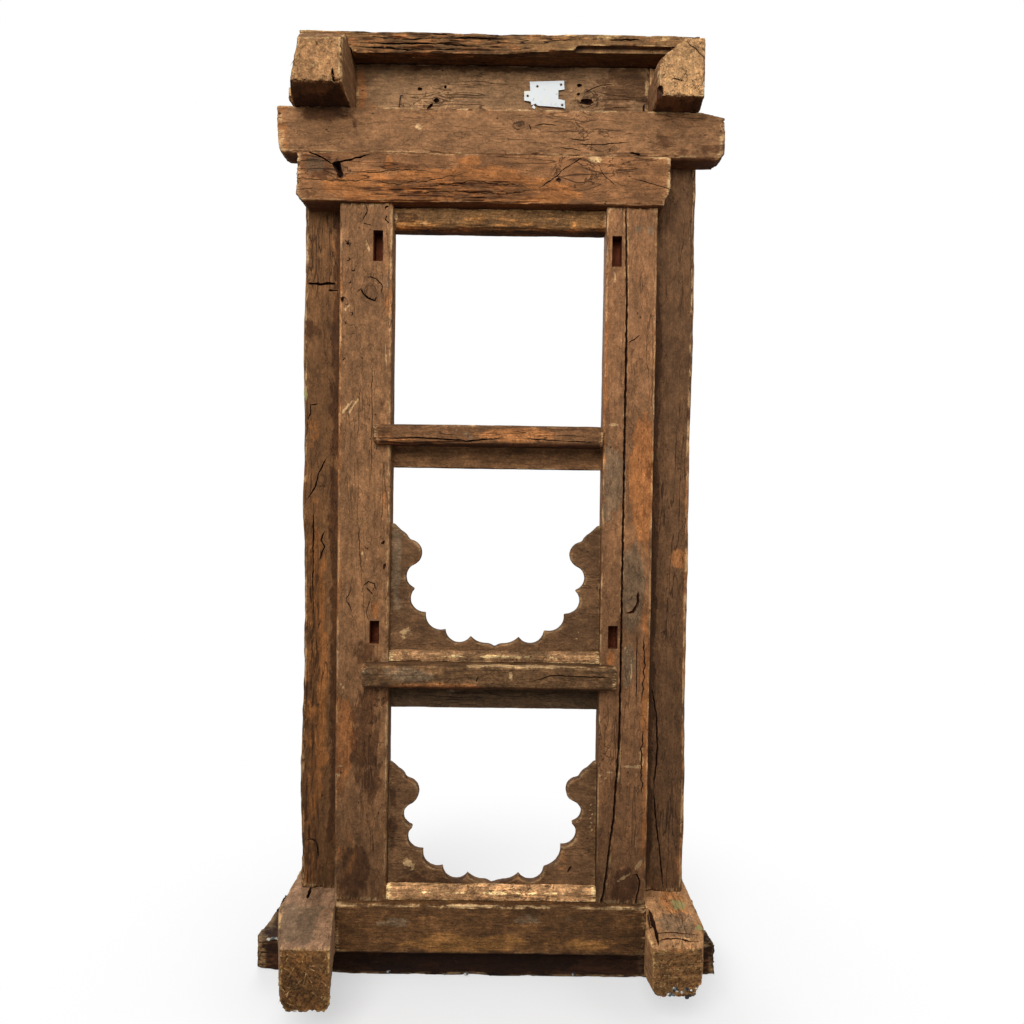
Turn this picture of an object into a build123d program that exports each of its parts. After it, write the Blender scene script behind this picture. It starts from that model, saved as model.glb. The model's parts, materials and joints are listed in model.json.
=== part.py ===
from build123d import *
import os

# Carved timber window frame, seen from its room side.
# +X right, +Z up, the room side faces -Y, sizes in millimetres.
# The origin is on the ground under the middle of the openings, and Y = 0 is the plane
# in which the thin casing meets the heavy outer posts behind it.

# Heights, from the ground up
sleeper_height = 67.0
foot_height = 100.0
window_height = 1366.0
lower_lintel_height = 95.0
upper_lintel_height = 92.0
block_height = 108.0
plank_height = 32.0

# Widths
opening_width = 415.0
left_inner_post_width = 102.5
right_inner_post_width = 98.5
casing_lap = 6.0
left_foot_width = 106.0
right_foot_width = 100.0
outer_post_width = 86.5
block_inset = 11.0
left_block_width = 108.0
right_block_width = 91.0
sleeper_left_overhang = 70.0
sleeper_right_overhang = 56.0
upper_lintel_horn = 44.0
lower_lintel_left_horn = 2.0
lower_lintel_right_horn = 21.0

# Depths
casing_depth = 47.5
outer_post_depth = 120.0
sleeper_front = 9.0
sleeper_bow = 15.0
sleeper_depth = 168.0
sill_step = 12.5
sill_depth = 75.0
rear_sill_depth = 60.0
rear_sill_height = 55.0
lower_lintel_depth = 58.0
upper_lintel_depth = 46.0
rear_lintel_depth = 48.0
left_foot_reach = 226.0
right_foot_reach = 181.0
rear_reach = 197.0
left_block_reach = 131.0
right_block_reach = 100.0
rear_block_reach = 185.0

# Boards at the head
top_plank_front = 55.0
top_plank_depth = 150.0
top_plank_left_set = 11.0
top_plank_right_set = 4.0
plank_lip_depth = 20.0
plank_lip_drop = 11.0
plank_edge_wear = 9.0
rear_plank_depth = 45.0
rear_plank_left_horn = 69.0
rear_plank_right_horn = 36.0
frieze_thickness = 22.0
frieze_lap = 70.0

# Rails and bars between the inner posts
head_rail_height = 43.0
head_rail_depth = 32.0
head_rail_rounding = 15.0
rail_depth = 20.0
upper_rail_height = 82.0
upper_bar_height = 39.5
upper_bar_bottom = 1067.0
upper_bar_stand = 24.5
upper_bar_left_lap = 31.5
upper_bar_right_gap = 4.0
lower_rail_height = 96.0
lower_bar_height = 46.0
lower_bar_bottom = 596.0
lower_bar_stand = 27.5
lower_bar_left_lap = 49.5
lower_bar_right_lap = 29.5
bar_top_rounding = 6.0
bar_bottom_rounding = 11.0
bar_end_rounding = 9.0
bead_depth = 13.0
upper_bead_height = 22.0
lower_bead_height = 29.0

# Cusped panels
panel_thickness = 18.0
panel_setback = 17.5
panel_side_gap = 0.3
upper_panel_root = 27.0
lower_panel_root = 24.0

# Joints
tenon_thickness = 30.0
post_tenon_width = 50.0
post_tenon_length = 40.0
casing_tenon_width = 40.0
casing_tenon_thickness = 16.0
casing_tenon_length = 22.0
rail_tenon_length = 15.0
rail_tenon_thickness = 10.0
tenon_shoulder = 12.0
joint_clearance = 0.3

# Slots for lost bars in the faces of the inner posts
slot_depth = 32.0
slot_width = 19.0
upper_slot_height = 59.0
lower_slot_height = 45.0
left_slot_from_opening = 18.5
right_upper_slot_from_opening = 11.0
right_lower_slot_from_opening = 15.5
left_upper_slot_drop = 51.0
right_upper_slot_drop = 55.0
left_lower_slot_rise = 36.0
right_lower_slot_rise = 32.0

# Wear and damage
timber_wear = 5.0
sill_foot_wear = 10.0
casing_wear = 3.0
end_wear = 12.0
left_nose_taper = 47.0
right_nose_taper = 13.0
left_foot_lean = 32.0
right_foot_lean = 14.0
left_nose_wear = 10.0
right_nose_inner_wear = 10.0
right_nose_outer_wear = 18.0
nose_wear_rise = 1.6
flake_width = 19.0
flake_length = 68.0
flake_drop = 4.0
flake_notch_depth = 16.0
left_block_taper = 18.0
left_block_lean = 17.0
left_block_top_wear = 40.0
right_block_corner_width = 48.0
right_block_corner_height = 45.0
crack_width = 3.0
crack_depth = 14.0
lintel_hole_depth = 20.0
saw_cut_width = 3.0
saw_cut_depth = 4.0
saw_cut_drop = 143.0
split_gap = 1.2
split_top_offset = 36.5
split_offset = 42.0
split_foot_offset = 10.0
split_turn_height = 330.0

# Levels and edges worked out from the sizes above
base_top = sleeper_height + foot_height
lower_lintel_bottom = base_top + window_height
upper_lintel_bottom = lower_lintel_bottom + lower_lintel_height
block_bottom = upper_lintel_bottom + upper_lintel_height
block_top = block_bottom + block_height
plank_top = block_top + plank_height

half_opening = opening_width / 2
left_casing_edge = half_opening + left_inner_post_width
right_casing_edge = half_opening + right_inner_post_width
half_foot_gap = left_casing_edge - casing_lap
left_foot_edge = half_foot_gap + left_foot_width
right_foot_edge = half_foot_gap + right_foot_width
outer_post_edge = half_foot_gap + outer_post_width
outer_post_middle = half_foot_gap + outer_post_width / 2
half_block_gap = half_foot_gap - block_inset
left_block_edge = half_block_gap + left_block_width
right_block_edge = half_block_gap + right_block_width

casing_front = -casing_depth
sill_front = casing_front - sill_step
panel_front = casing_front + panel_setback
upper_bar_top = upper_bar_bottom + upper_bar_height
lower_bar_top = lower_bar_bottom + lower_bar_height

os.makedirs("parts", exist_ok=True)


def block(x_low, x_high, y_low, y_high, z_low, z_high, mode=Mode.ADD):
    """Squared timber between two corners, added to the piece being built."""
    with Locations(((x_low + x_high) / 2, (y_low + y_high) / 2, z_low)):
        Box(x_high - x_low, y_high - y_low, z_high - z_low,
            align=(Align.CENTER, Align.CENTER, Align.MIN), mode=mode)


def front_edges(piece, axis):
    """The two long edges of a timber's room side."""
    return piece.edges().filter_by(axis).group_by(Axis.Y)[0]


def hewn_tie(plan, side_outline):
    """A tie cut to its outline seen from above and to its outline seen from the side."""
    levels = [z for _, z in side_outline]
    with BuildPart() as tie:
        with BuildSketch(Plane.XY.offset(min(levels))):
            Polygon(*plan, align=None)
        extrude(amount=max(levels) - min(levels))
        with BuildSketch(Plane.YZ):
            Polygon(*side_outline, align=None)
        extrude(amount=max(abs(x) for x, _ in plan), both=True, mode=Mode.INTERSECT)
    return tie.part


def groove(points, y_front, depth):
    """A crack of even width that follows a line on a room face, to be cut away."""
    with BuildPart() as crack:
        with BuildSketch(Plane.XZ.offset(-y_front)):
            with BuildLine():
                Polyline(*points)
            trace(line_width=crack_width)
        extrude(amount=-depth)
    return crack.part


def post_mortise(x_middle, z_low, z_high):
    """Mortise that takes an outer post's tenon."""
    half_width = post_tenon_width / 2 + joint_clearance
    half_thickness = tenon_thickness / 2 + joint_clearance
    y_middle = outer_post_depth / 2
    block(x_middle - half_thickness, x_middle + half_thickness,
          y_middle - half_width, y_middle + half_width, z_low, z_high, Mode.SUBTRACT)


# The sleeper is one thick plank on the ground, bowed in front, with both ends hewn askew
with BuildPart() as bottom_sleeper:
    with BuildSketch():
        sleeper_left = -left_foot_edge - sleeper_left_overhang
        sleeper_right = right_foot_edge + sleeper_right_overhang
        sleeper_back = sleeper_depth - sleeper_front
        bow_front = -sleeper_front - sleeper_bow
        Polygon((-half_foot_gap, bow_front * 0.75), (sleeper_left + 5, -sleeper_front),
                (sleeper_left, sleeper_depth * 0.09 - sleeper_front),
                (sleeper_left + end_wear, sleeper_depth * 0.6 - sleeper_front),
                (sleeper_left + end_wear, sleeper_back),
                (sleeper_right - end_wear / 2, sleeper_back),
                (sleeper_right - end_wear, sleeper_depth * 0.35 - sleeper_front),
                (sleeper_right, -sleeper_front), (half_foot_gap, bow_front), align=None)
    extrude(amount=sleeper_height)
    upper_edges = bottom_sleeper.edges().group_by(Axis.Z)[-1]
    chamfer(upper_edges.sort_by(Axis.Y)[:3], timber_wear)
bottom_sleeper.part.label = "bottom_sleeper"

mortise_bottom = base_top - post_tenon_length - joint_clearance
foot_bend = sill_front - 3

# How far a wedge that cuts a side away reaches past it
past_side = 20.0


def worn_nose_corner(reach, side_x, toward, nose_wear):
    """Wedge that takes a foot's lower corner away, more and more towards its nose."""
    with BuildPart() as wedge:
        for y, wear in ((-reach - 1, nose_wear), (foot_bend, 1.0)):
            wear_height = nose_wear_rise * wear
            with BuildSketch(Plane.XZ.offset(-y)):
                Polygon((side_x - toward * past_side, sleeper_height - 1),
                        (side_x + toward * wear, sleeper_height - 1),
                        (side_x, sleeper_height + wear_height),
                        (side_x - toward * past_side, sleeper_height + wear_height),
                        align=None)
        loft()
    return wedge.part


# The feet are ties that run through the wall, over the sleeper.
# The left one has kept a long nose, broken off rough and bent towards the middle.
with BuildPart() as left_foot:
    nose = -left_foot_reach
    nose_left = -left_foot_edge + left_nose_taper
    nose_right = -half_foot_gap + left_foot_lean
    add(hewn_tie(
        plan=((-left_foot_edge, rear_reach), (-left_foot_edge, foot_bend - 14),
              (-left_foot_edge + left_nose_taper * 0.68, nose * 0.79), (nose_left, nose),
              (nose_right, nose), (-half_foot_gap + left_foot_lean * 0.78, nose * 0.89),
              (-half_foot_gap + left_foot_lean * 0.44, nose * 0.65),
              (-half_foot_gap, foot_bend), (-half_foot_gap, rear_reach)),
        side_outline=((rear_reach, sleeper_height), (rear_reach, base_top),
                      (nose * 0.9, base_top), (nose * 0.965, base_top - foot_height * 0.3),
                      (nose, sleeper_height + foot_height * 0.4),
                      (nose, sleeper_height))))
    add(worn_nose_corner(left_foot_reach, nose_left, 1, left_nose_wear),
        mode=Mode.SUBTRACT)
    add(worn_nose_corner(left_foot_reach, nose_right, -1, left_nose_wear),
        mode=Mode.SUBTRACT)
    post_mortise(-outer_post_middle, mortise_bottom, base_top)
left_foot.part.label = "left_foot"

# The right foot is shorter, worn round below, with a flake split off its inner corner
with BuildPart() as right_foot:
    nose = -right_foot_reach
    inner_side = half_foot_gap - right_foot_lean
    nose_left = inner_side + 4
    nose_right = right_foot_edge - right_nose_taper
    add(hewn_tie(
        plan=((half_foot_gap, rear_reach), (half_foot_gap, foot_bend),
              (inner_side, nose * 0.67), (inner_side, nose * 0.8), (nose_left, nose),
              (nose_right - 3, nose * 0.965), (nose_right, nose * 0.93),
              (right_foot_edge, nose * 0.68), (right_foot_edge, rear_reach)),
        side_outline=((rear_reach, sleeper_height), (rear_reach, base_top),
                      (nose * 0.87, base_top), (nose * 0.93, base_top - foot_height * 0.07),
                      (nose * 0.98, base_top - foot_height * 0.11),
                      (nose, sleeper_height + foot_height * 0.6),
                      (nose, sleeper_height))))
    add(worn_nose_corner(right_foot_reach, nose_left, 1, right_nose_inner_wear),
        mode=Mode.SUBTRACT)
    add(worn_nose_corner(right_foot_reach, nose_right, -1, right_nose_outer_wear),
        mode=Mode.SUBTRACT)
    flake_edge = inner_side + flake_width
    block(inner_side - 1, flake_edge, nose + flake_length - 1, foot_bend + 1,
          base_top - flake_notch_depth, base_top, Mode.SUBTRACT)
    block(inner_side - 1, flake_edge, nose - 1, nose + flake_length,
          base_top - flake_drop, base_top, Mode.SUBTRACT)
    block(flake_edge - crack_width, flake_edge, nose - 1, nose + flake_length,
          base_top - crack_depth - flake_drop, base_top - flake_drop, Mode.SUBTRACT)
    post_mortise(outer_post_middle, mortise_bottom, base_top)
right_foot.part.label = "right_foot"

# Casing tenons stand in the middle of the inner posts' thickness
casing_tenon_back = casing_front / 2 + casing_tenon_thickness / 2
casing_tenon_front = casing_tenon_back - casing_tenon_thickness


def casing_mortise(x_middle, z_low, z_high):
    """Mortise that takes an inner post's tenon."""
    half_width = casing_tenon_width / 2 + joint_clearance
    block(x_middle - half_width, x_middle + half_width,
          casing_tenon_front - joint_clearance, casing_tenon_back + joint_clearance,
          z_low, z_high, Mode.SUBTRACT)


# The right post's tenon stands outside its long split
right_tenon_middle = half_opening + split_offset + 8 + casing_tenon_width / 2
left_tenon_middle = -half_opening - left_inner_post_width / 2

# The sill beam fills the space between the feet and carries the inner posts
with BuildPart() as sill_beam:
    sill_half = half_foot_gap - joint_clearance
    block(-sill_half, sill_half, sill_front, sill_front + sill_depth, sleeper_height, base_top)
    low_edge, high_edge = front_edges(sill_beam, Axis.X).sort_by(Axis.Z)
    fillet(high_edge, timber_wear)
    fillet(low_edge, sill_foot_wear)
    for middle in (left_tenon_middle, right_tenon_middle):
        casing_mortise(middle, base_top - casing_tenon_length - joint_clearance, base_top)
sill_beam.part.label = "sill_beam"

# Behind, a lower beam ties the feet together
with BuildPart() as rear_sill:
    block(-sill_half, sill_half, sleeper_back - rear_sill_depth, sleeper_back,
          sleeper_height, sleeper_height + rear_sill_height)
rear_sill.part.label = "rear_sill"


# The outer posts stand on the feet and carry the top blocks
def outer_post(side):
    """One outer post with a tenon at each end, on the left (-1) or the right (1)."""
    with BuildPart() as post:
        x_near, x_far = sorted((side * half_foot_gap, side * outer_post_edge))
        block(x_near, x_far, 0, outer_post_depth, base_top, block_bottom)
        chamfer(post.edges().filter_by(Axis.Z), timber_wear)
        x_middle = side * outer_post_middle
        y_middle = outer_post_depth / 2
        block(x_middle - tenon_thickness / 2, x_middle + tenon_thickness / 2,
              y_middle - post_tenon_width / 2, y_middle + post_tenon_width / 2,
              base_top - post_tenon_length, block_bottom + post_tenon_length)
    return post.part


# A saw cut crosses the left post's face, under the lintel
with BuildPart() as left_outer_post:
    add(outer_post(-1))
    saw_cut_z = lower_lintel_bottom - saw_cut_drop
    block(-outer_post_edge - 1, -half_foot_gap - end_wear, -1, saw_cut_depth,
          saw_cut_z, saw_cut_z + saw_cut_width, Mode.SUBTRACT)
left_outer_post.part.label = "left_outer_post"

# A drying crack runs down the right post and leans outwards to its foot
with BuildPart() as right_outer_post:
    add(outer_post(1))
    shares = ((0.17, 0.3), (0.3, 0.25), (0.37, 0.125), (0.52, 0.024), (0.53, 0))
    post_crack = [(half_foot_gap + outer_post_width * across, base_top + window_height * up)
                  for across, up in shares]
    add(groove(post_crack, 0, crack_depth), mode=Mode.SUBTRACT)
right_outer_post.part.label = "right_outer_post"

# Rails cross behind the bars and are tenoned into the inner posts
upper_rail_bottom = upper_bar_top - upper_rail_height
lower_rail_bottom = lower_bar_top - lower_rail_height
head_rail_bottom = lower_lintel_bottom - head_rail_height
rail_tenon_back = -(rail_depth - rail_tenon_thickness) / 2
rail_tenon_front = rail_tenon_back - rail_tenon_thickness
rail_levels = ((head_rail_bottom, lower_lintel_bottom),
               (upper_rail_bottom, upper_bar_top),
               (lower_rail_bottom, lower_bar_top))


def rail_mortises(side):
    """Mortises for the three rails in the edge of an inner post."""
    for z_low, z_high in rail_levels:
        x_near = side * half_opening
        x_far = side * (half_opening + rail_tenon_length + joint_clearance)
        block(min(x_near, x_far), max(x_near, x_far),
              rail_tenon_front - joint_clearance, rail_tenon_back + joint_clearance,
              z_low + tenon_shoulder - joint_clearance,
              z_high - tenon_shoulder + joint_clearance, Mode.SUBTRACT)


def slot(side, from_opening, z_low, height):
    """A slot for a lost bar in the face of an inner post."""
    x_near = side * (half_opening + from_opening)
    x_far = x_near + side * slot_width
    block(min(x_near, x_far), max(x_near, x_far),
          casing_front, casing_front + slot_depth, z_low, z_low + height, Mode.SUBTRACT)


def casing_tenons(x_middle):
    """Tenons at the foot and the head of an inner post."""
    block(x_middle - casing_tenon_width / 2, x_middle + casing_tenon_width / 2,
          casing_tenon_front, casing_tenon_back,
          base_top - casing_tenon_length, lower_lintel_bottom + casing_tenon_length)


with BuildPart() as left_inner_post:
    block(-left_casing_edge, -half_opening, casing_front, 0, base_top, lower_lintel_bottom)
    chamfer(front_edges(left_inner_post, Axis.Z), casing_wear)
    casing_tenons(left_tenon_middle)
    rail_mortises(-1)
    slot(-1, left_slot_from_opening,
         lower_lintel_bottom - left_upper_slot_drop - upper_slot_height, upper_slot_height)
    slot(-1, left_slot_from_opening, lower_bar_top + left_lower_slot_rise, lower_slot_height)
left_inner_post.part.label = "left_inner_post"

# The right inner post is split from end to end: the split runs straight down beside
# the slots and then leans to the opening at the foot
split_x = half_opening + split_offset
split_top_x = half_opening + split_top_offset
split_foot_x = half_opening + split_foot_offset
split_lean = split_x - split_foot_x
split_turn_z = base_top + split_turn_height
split_knee_z = lower_lintel_bottom - window_height / 9


def split_line(gap):
    """The line of the split, from the head of the post to its foot."""
    Line((split_top_x - gap, lower_lintel_bottom), (split_x - gap, split_knee_z))
    Line((split_x - gap, split_knee_z), (split_x - gap, split_turn_z))
    Spline((split_x - gap, split_turn_z),
           (split_x - gap - split_lean * 0.3, base_top + split_turn_height * 0.52),
           (split_x - gap - split_lean * 0.83, base_top + split_turn_height * 0.07),
           (split_foot_x - gap, base_top),
           tangents=((0, -1), (-0.3, -1)))


with BuildPart() as right_inner_post:
    with BuildSketch(Plane.XZ) as outer_half:
        with BuildLine():
            split_line(0)
            Polyline((split_foot_x, base_top), (right_casing_edge, base_top),
                     (right_casing_edge, lower_lintel_bottom),
                     (split_top_x, lower_lintel_bottom))
        make_face()
    extrude(amount=casing_depth)
    casing_tenons(right_tenon_middle)
right_inner_post.part.label = "right_inner_post"

with BuildPart() as right_post_strip:
    with BuildSketch(Plane.XZ) as inner_strip:
        with BuildLine():
            split_line(split_gap)
            Polyline((split_foot_x - split_gap, base_top), (half_opening, base_top),
                     (half_opening, lower_lintel_bottom),
                     (split_top_x - split_gap, lower_lintel_bottom))
        make_face()
    extrude(amount=casing_depth)
    rail_mortises(1)
    slot(1, right_upper_slot_from_opening,
         lower_lintel_bottom - right_upper_slot_drop - upper_slot_height, upper_slot_height)
    slot(1, right_lower_slot_from_opening, lower_bar_top + right_lower_slot_rise,
         lower_slot_height)
right_post_strip.part.label = "right_post_strip"


def rail(z_low, z_high, depth):
    """A rail with a stub tenon at each end."""
    block(-half_opening, half_opening, -depth, 0, z_low, z_high)
    half_length = half_opening + rail_tenon_length
    block(-half_length, half_length, rail_tenon_front, rail_tenon_back,
          z_low + tenon_shoulder, z_high - tenon_shoulder)


with BuildPart() as head_rail:
    rail(head_rail_bottom, lower_lintel_bottom, head_rail_depth)
    fillet(head_rail.edges().filter_by(Axis.X).group_by(Axis.Y)[0].group_by(Axis.Z)[0],
           head_rail_rounding)
head_rail.part.label = "head_rail"

with BuildPart() as upper_rail:
    rail(upper_rail_bottom, upper_bar_top, rail_depth)
upper_rail.part.label = "upper_rail"

with BuildPart() as lower_rail:
    rail(lower_rail_bottom, lower_bar_top, rail_depth)
lower_rail.part.label = "lower_rail"


def bar(z_low, height, stand, left_lap, right_lap):
    """A hand-worn bar that laps the posts' faces and is let in between them."""
    with BuildPart() as timber:
        block(-half_opening - left_lap, half_opening + right_lap,
              casing_front - stand, casing_front, z_low, z_low + height)
        left_end = timber.edges().filter_by(Axis.Z).group_by(Axis.X)[0].sort_by(Axis.Y)[0]
        fillet(left_end, bar_end_rounding)
        low_edge, high_edge = front_edges(timber, Axis.X).sort_by(Axis.Z)
        fillet(high_edge, bar_top_rounding)
        fillet(low_edge, bar_bottom_rounding)
        block(-half_opening, min(half_opening, half_opening + right_lap),
              casing_front, -rail_depth, z_low, z_low + height)
    return timber.part


upper_bar = bar(upper_bar_bottom, upper_bar_height, upper_bar_stand,
                upper_bar_left_lap, -upper_bar_right_gap)
upper_bar.label = "upper_bar"
lower_bar = bar(lower_bar_bottom, lower_bar_height, lower_bar_stand,
                lower_bar_left_lap, lower_bar_right_lap)
lower_bar.label = "lower_bar"


def bead(z_low, height):
    """A quarter-round strip at the foot of a panel."""
    with BuildPart() as strip:
        block(-half_opening, half_opening, panel_front - bead_depth, panel_front,
              z_low, z_low + height)
        fillet(strip.edges().filter_by(Axis.X).group_by(Axis.Y)[0].group_by(Axis.Z)[-1],
               bead_depth * 0.9)
    return strip.part


upper_bead = bead(lower_bar_top, upper_bead_height)
upper_bead.label = "upper_bead"
lower_bead = bead(base_top, lower_bead_height)
lower_bead.label = "lower_bead"

# The hanging outline of small arches, from the middle out to the post.
# Each point is a distance from the middle and a height over the middle point.
panel_half = half_opening - panel_side_gap
ogee_bend = (7.5, 5.0)
ogee_turn = (18.0, 7.0)
cusps = ((48.0, 21.0), (98.0, 34.5), (137.5, 68.5), (158.5, 115.5))
arch_low_points = ((72.0, 8.0), (122.0, 36.0), (168.0, 90.0))
lobe_back = (177.5, 143.0)
lobe_start = (162.0, 163.0)
lobe_front = (147.0, 186.0)
notch = (172.0, 212.5)
horn_round = (177.0, 222.0)
horn_slope = (188.0, 230.5)
horn_tip = (203.0, 245.0)
horn_land = 4.2
cusp_scale = panel_half / (horn_tip[0] + horn_land)


def hanging_outline(side, z_point, low_shift, high_lift):
    """Half of the outline, the low arches shifted outwards and the high ones lifted."""

    def low(point):
        return (side * (point[0] + low_shift) * cusp_scale, z_point + point[1] * cusp_scale)

    def high(point, share=1.0):
        return (side * point[0] * cusp_scale,
                z_point + (point[1] + high_lift * share) * cusp_scale)

    ThreePointArc((0, z_point), low(ogee_bend), low(ogee_turn))
    TangentArc(low(ogee_turn), low(cusps[0]), tangent=(side, 0))
    ThreePointArc(low(cusps[0]), low(arch_low_points[0]), low(cusps[1]))
    ThreePointArc(low(cusps[1]), high(arch_low_points[1], 0.5), high(cusps[2]))
    ThreePointArc(high(cusps[2]), high(arch_low_points[2]), high(cusps[3]))
    ThreePointArc(high(cusps[3]), high(lobe_back), high(lobe_start, 0.7))
    ThreePointArc(high(lobe_start, 0.7), high(lobe_front, 0.5), high(notch, 0.4))
    ThreePointArc(high(notch, 0.4), high(horn_round, 0.4), high(horn_slope, 0.4))
    tip = high(horn_tip, 0.4)
    Polyline(high(horn_slope, 0.4), tip, (side * panel_half, tip[1]))
    return tip[1]


def cusped_panel(z_low, root, right_low_shift, right_high_lift):
    """A board cut to the hanging outline, standing on z_low."""
    with BuildPart() as board:
        with BuildSketch(Plane.XZ.offset(-panel_front - panel_thickness)):
            with BuildLine():
                left_top = hanging_outline(-1, z_low + root, 0, 0)
                right_top = hanging_outline(1, z_low + root, right_low_shift, right_high_lift)
                Polyline((-panel_half, left_top), (-panel_half, z_low),
                         (panel_half, z_low), (panel_half, right_top))
            make_face()
        extrude(amount=panel_thickness)
    return board.part


# The lower panel was cut less evenly: its right half hangs a little higher
upper_cusped_panel = cusped_panel(lower_bar_top, upper_panel_root, 0, 0)
upper_cusped_panel.label = "upper_cusped_panel"
lower_cusped_panel = cusped_panel(base_top, lower_panel_root, 6.0, 12.0)
lower_cusped_panel.label = "lower_cusped_panel"

# The lower lintel lies on the inner posts, in front of the outer ones
lower_lintel_left = -outer_post_edge - lower_lintel_left_horn
lower_lintel_right = right_casing_edge + lower_lintel_right_horn
fork_x = lower_lintel_left + lower_lintel_height * 0.72
fork_z = upper_lintel_bottom - lower_lintel_height / 4


def from_fork(along, up):
    """A point near the fork of the lintel's cracks, in shares of the lintel's height."""
    return (fork_x + along * lower_lintel_height, fork_z + up * lower_lintel_height)


with BuildPart() as lower_lintel:
    with BuildSketch(Plane.XZ):
        Polygon((lower_lintel_left + end_wear, lower_lintel_bottom),
                (lower_lintel_left, lower_lintel_bottom + end_wear),
                (lower_lintel_left + 2, upper_lintel_bottom),
                (lower_lintel_right, upper_lintel_bottom),
                (lower_lintel_right, lower_lintel_bottom + lower_lintel_height / 3),
                (lower_lintel_right - end_wear, lower_lintel_bottom), align=None)
    extrude(amount=lower_lintel_depth)
    fillet(lower_lintel.faces().sort_by(Axis.Y)[0].edges().filter_by(Axis.X), timber_wear)
    for middle in (left_tenon_middle, right_tenon_middle):
        casing_mortise(middle, lower_lintel_bottom,
                       lower_lintel_bottom + casing_tenon_length + joint_clearance)
    # Two long cracks fork from a hole where a knot fell out, near the left end
    add(groove((from_fork(-0.59, 0.24), from_fork(-0.27, 0.15), from_fork(0, 0)),
               -lower_lintel_depth, crack_depth), mode=Mode.SUBTRACT)
    add(groove((from_fork(0, 0), from_fork(0.27, 0.05), from_fork(0.58, 0.14),
                from_fork(0.82, 0.21)),
               -lower_lintel_depth, crack_depth), mode=Mode.SUBTRACT)
    with BuildSketch(Plane.XZ.offset(lower_lintel_depth)):
        Polygon(from_fork(-0.02, 0.01), from_fork(0.25, 0.04), from_fork(0.21, -0.15),
                from_fork(0.18, -0.19), from_fork(0.12, -0.28), from_fork(0.02, -0.08),
                align=None)
    extrude(amount=-lintel_hole_depth, mode=Mode.SUBTRACT)
lower_lintel.part.label = "lower_lintel"

# The upper lintel runs past both outer posts, and its right end is worn down
with BuildPart() as upper_lintel:
    upper_half = outer_post_edge + upper_lintel_horn
    with BuildSketch(Plane.XZ):
        Polygon((-upper_half + 10, upper_lintel_bottom),
                (-upper_half + 4, upper_lintel_bottom + end_wear),
                (-upper_half, block_bottom),
                (right_block_edge, block_bottom), (upper_half, block_bottom - 11),
                (upper_half, upper_lintel_bottom + end_wear),
                (upper_half - end_wear, upper_lintel_bottom), align=None)
    extrude(amount=upper_lintel_depth)
    lower_front = front_edges(upper_lintel, Axis.X).sort_by(Axis.Z)[0]
    chamfer(lower_front, timber_wear)
upper_lintel.part.label = "upper_lintel"

with BuildPart() as rear_lintel:
    block(-outer_post_edge, outer_post_edge, outer_post_depth,
          outer_post_depth + rear_lintel_depth, upper_lintel_bottom, block_bottom)
rear_lintel.part.label = "rear_lintel"

mortise_top = block_bottom + post_tenon_length + joint_clearance

# The top blocks are ties too, over the lintel and the outer posts.
# The left one narrows to its nose, and its outer side leans in at the top.
left_block_nose = -left_block_reach
left_block_nose_left = -left_block_edge + left_block_taper
left_block_bend = left_block_nose * 0.42

with BuildPart() as leaning_side:
    for y, side_x in ((left_block_nose - 1, left_block_nose_left),
                      (left_block_bend, -left_block_edge),
                      (rear_block_reach + 1, -left_block_edge)):
        with BuildSketch(Plane.XZ.offset(-y)):
            Polygon((side_x - past_side, block_bottom - 1), (side_x, block_bottom - 1),
                    (side_x + left_block_lean, block_top + 1),
                    (side_x - past_side, block_top + 1), align=None)
    loft(ruled=True)

with BuildPart() as left_top_block:
    add(hewn_tie(
        plan=((-left_block_edge, rear_block_reach), (-left_block_edge, left_block_bend),
              (left_block_nose_left, left_block_nose), (2 - half_block_gap, left_block_nose),
              (-half_block_gap, 0), (-half_block_gap, rear_block_reach)),
        side_outline=((rear_block_reach, block_bottom), (rear_block_reach, block_top),
                      (left_block_nose + left_block_top_wear, block_top),
                      (left_block_nose + 4, block_top - left_block_top_wear * 0.7),
                      (left_block_nose, block_bottom + 10),
                      (left_block_nose + 2, block_bottom))))
    add(leaning_side.part, mode=Mode.SUBTRACT)
    post_mortise(-outer_post_middle, block_bottom, mortise_top)
left_top_block.part.label = "left_top_block"

# The right one is hewn off aslant at its upper inner corner, in front of the frieze
with BuildPart() as right_top_block:
    nose = -right_block_reach
    add(hewn_tie(
        plan=((half_block_gap, rear_block_reach), (half_block_gap, nose),
              (right_block_edge - 6, nose), (right_block_edge, nose * 0.42),
              (right_block_edge, rear_block_reach)),
        side_outline=((rear_block_reach, block_bottom), (rear_block_reach, block_top),
                      (nose + 2, block_top), (nose, block_top - 2), (nose, block_bottom))))
    with BuildSketch(Plane.XZ):
        Polygon((half_block_gap - 1, block_top - right_block_corner_height),
                (half_block_gap + right_block_corner_width, block_top),
                (half_block_gap - 1, block_top), align=None)
    extrude(amount=right_block_reach, mode=Mode.SUBTRACT)
    post_mortise(outer_post_middle, block_bottom, mortise_top)
right_top_block.part.label = "right_top_block"

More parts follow.
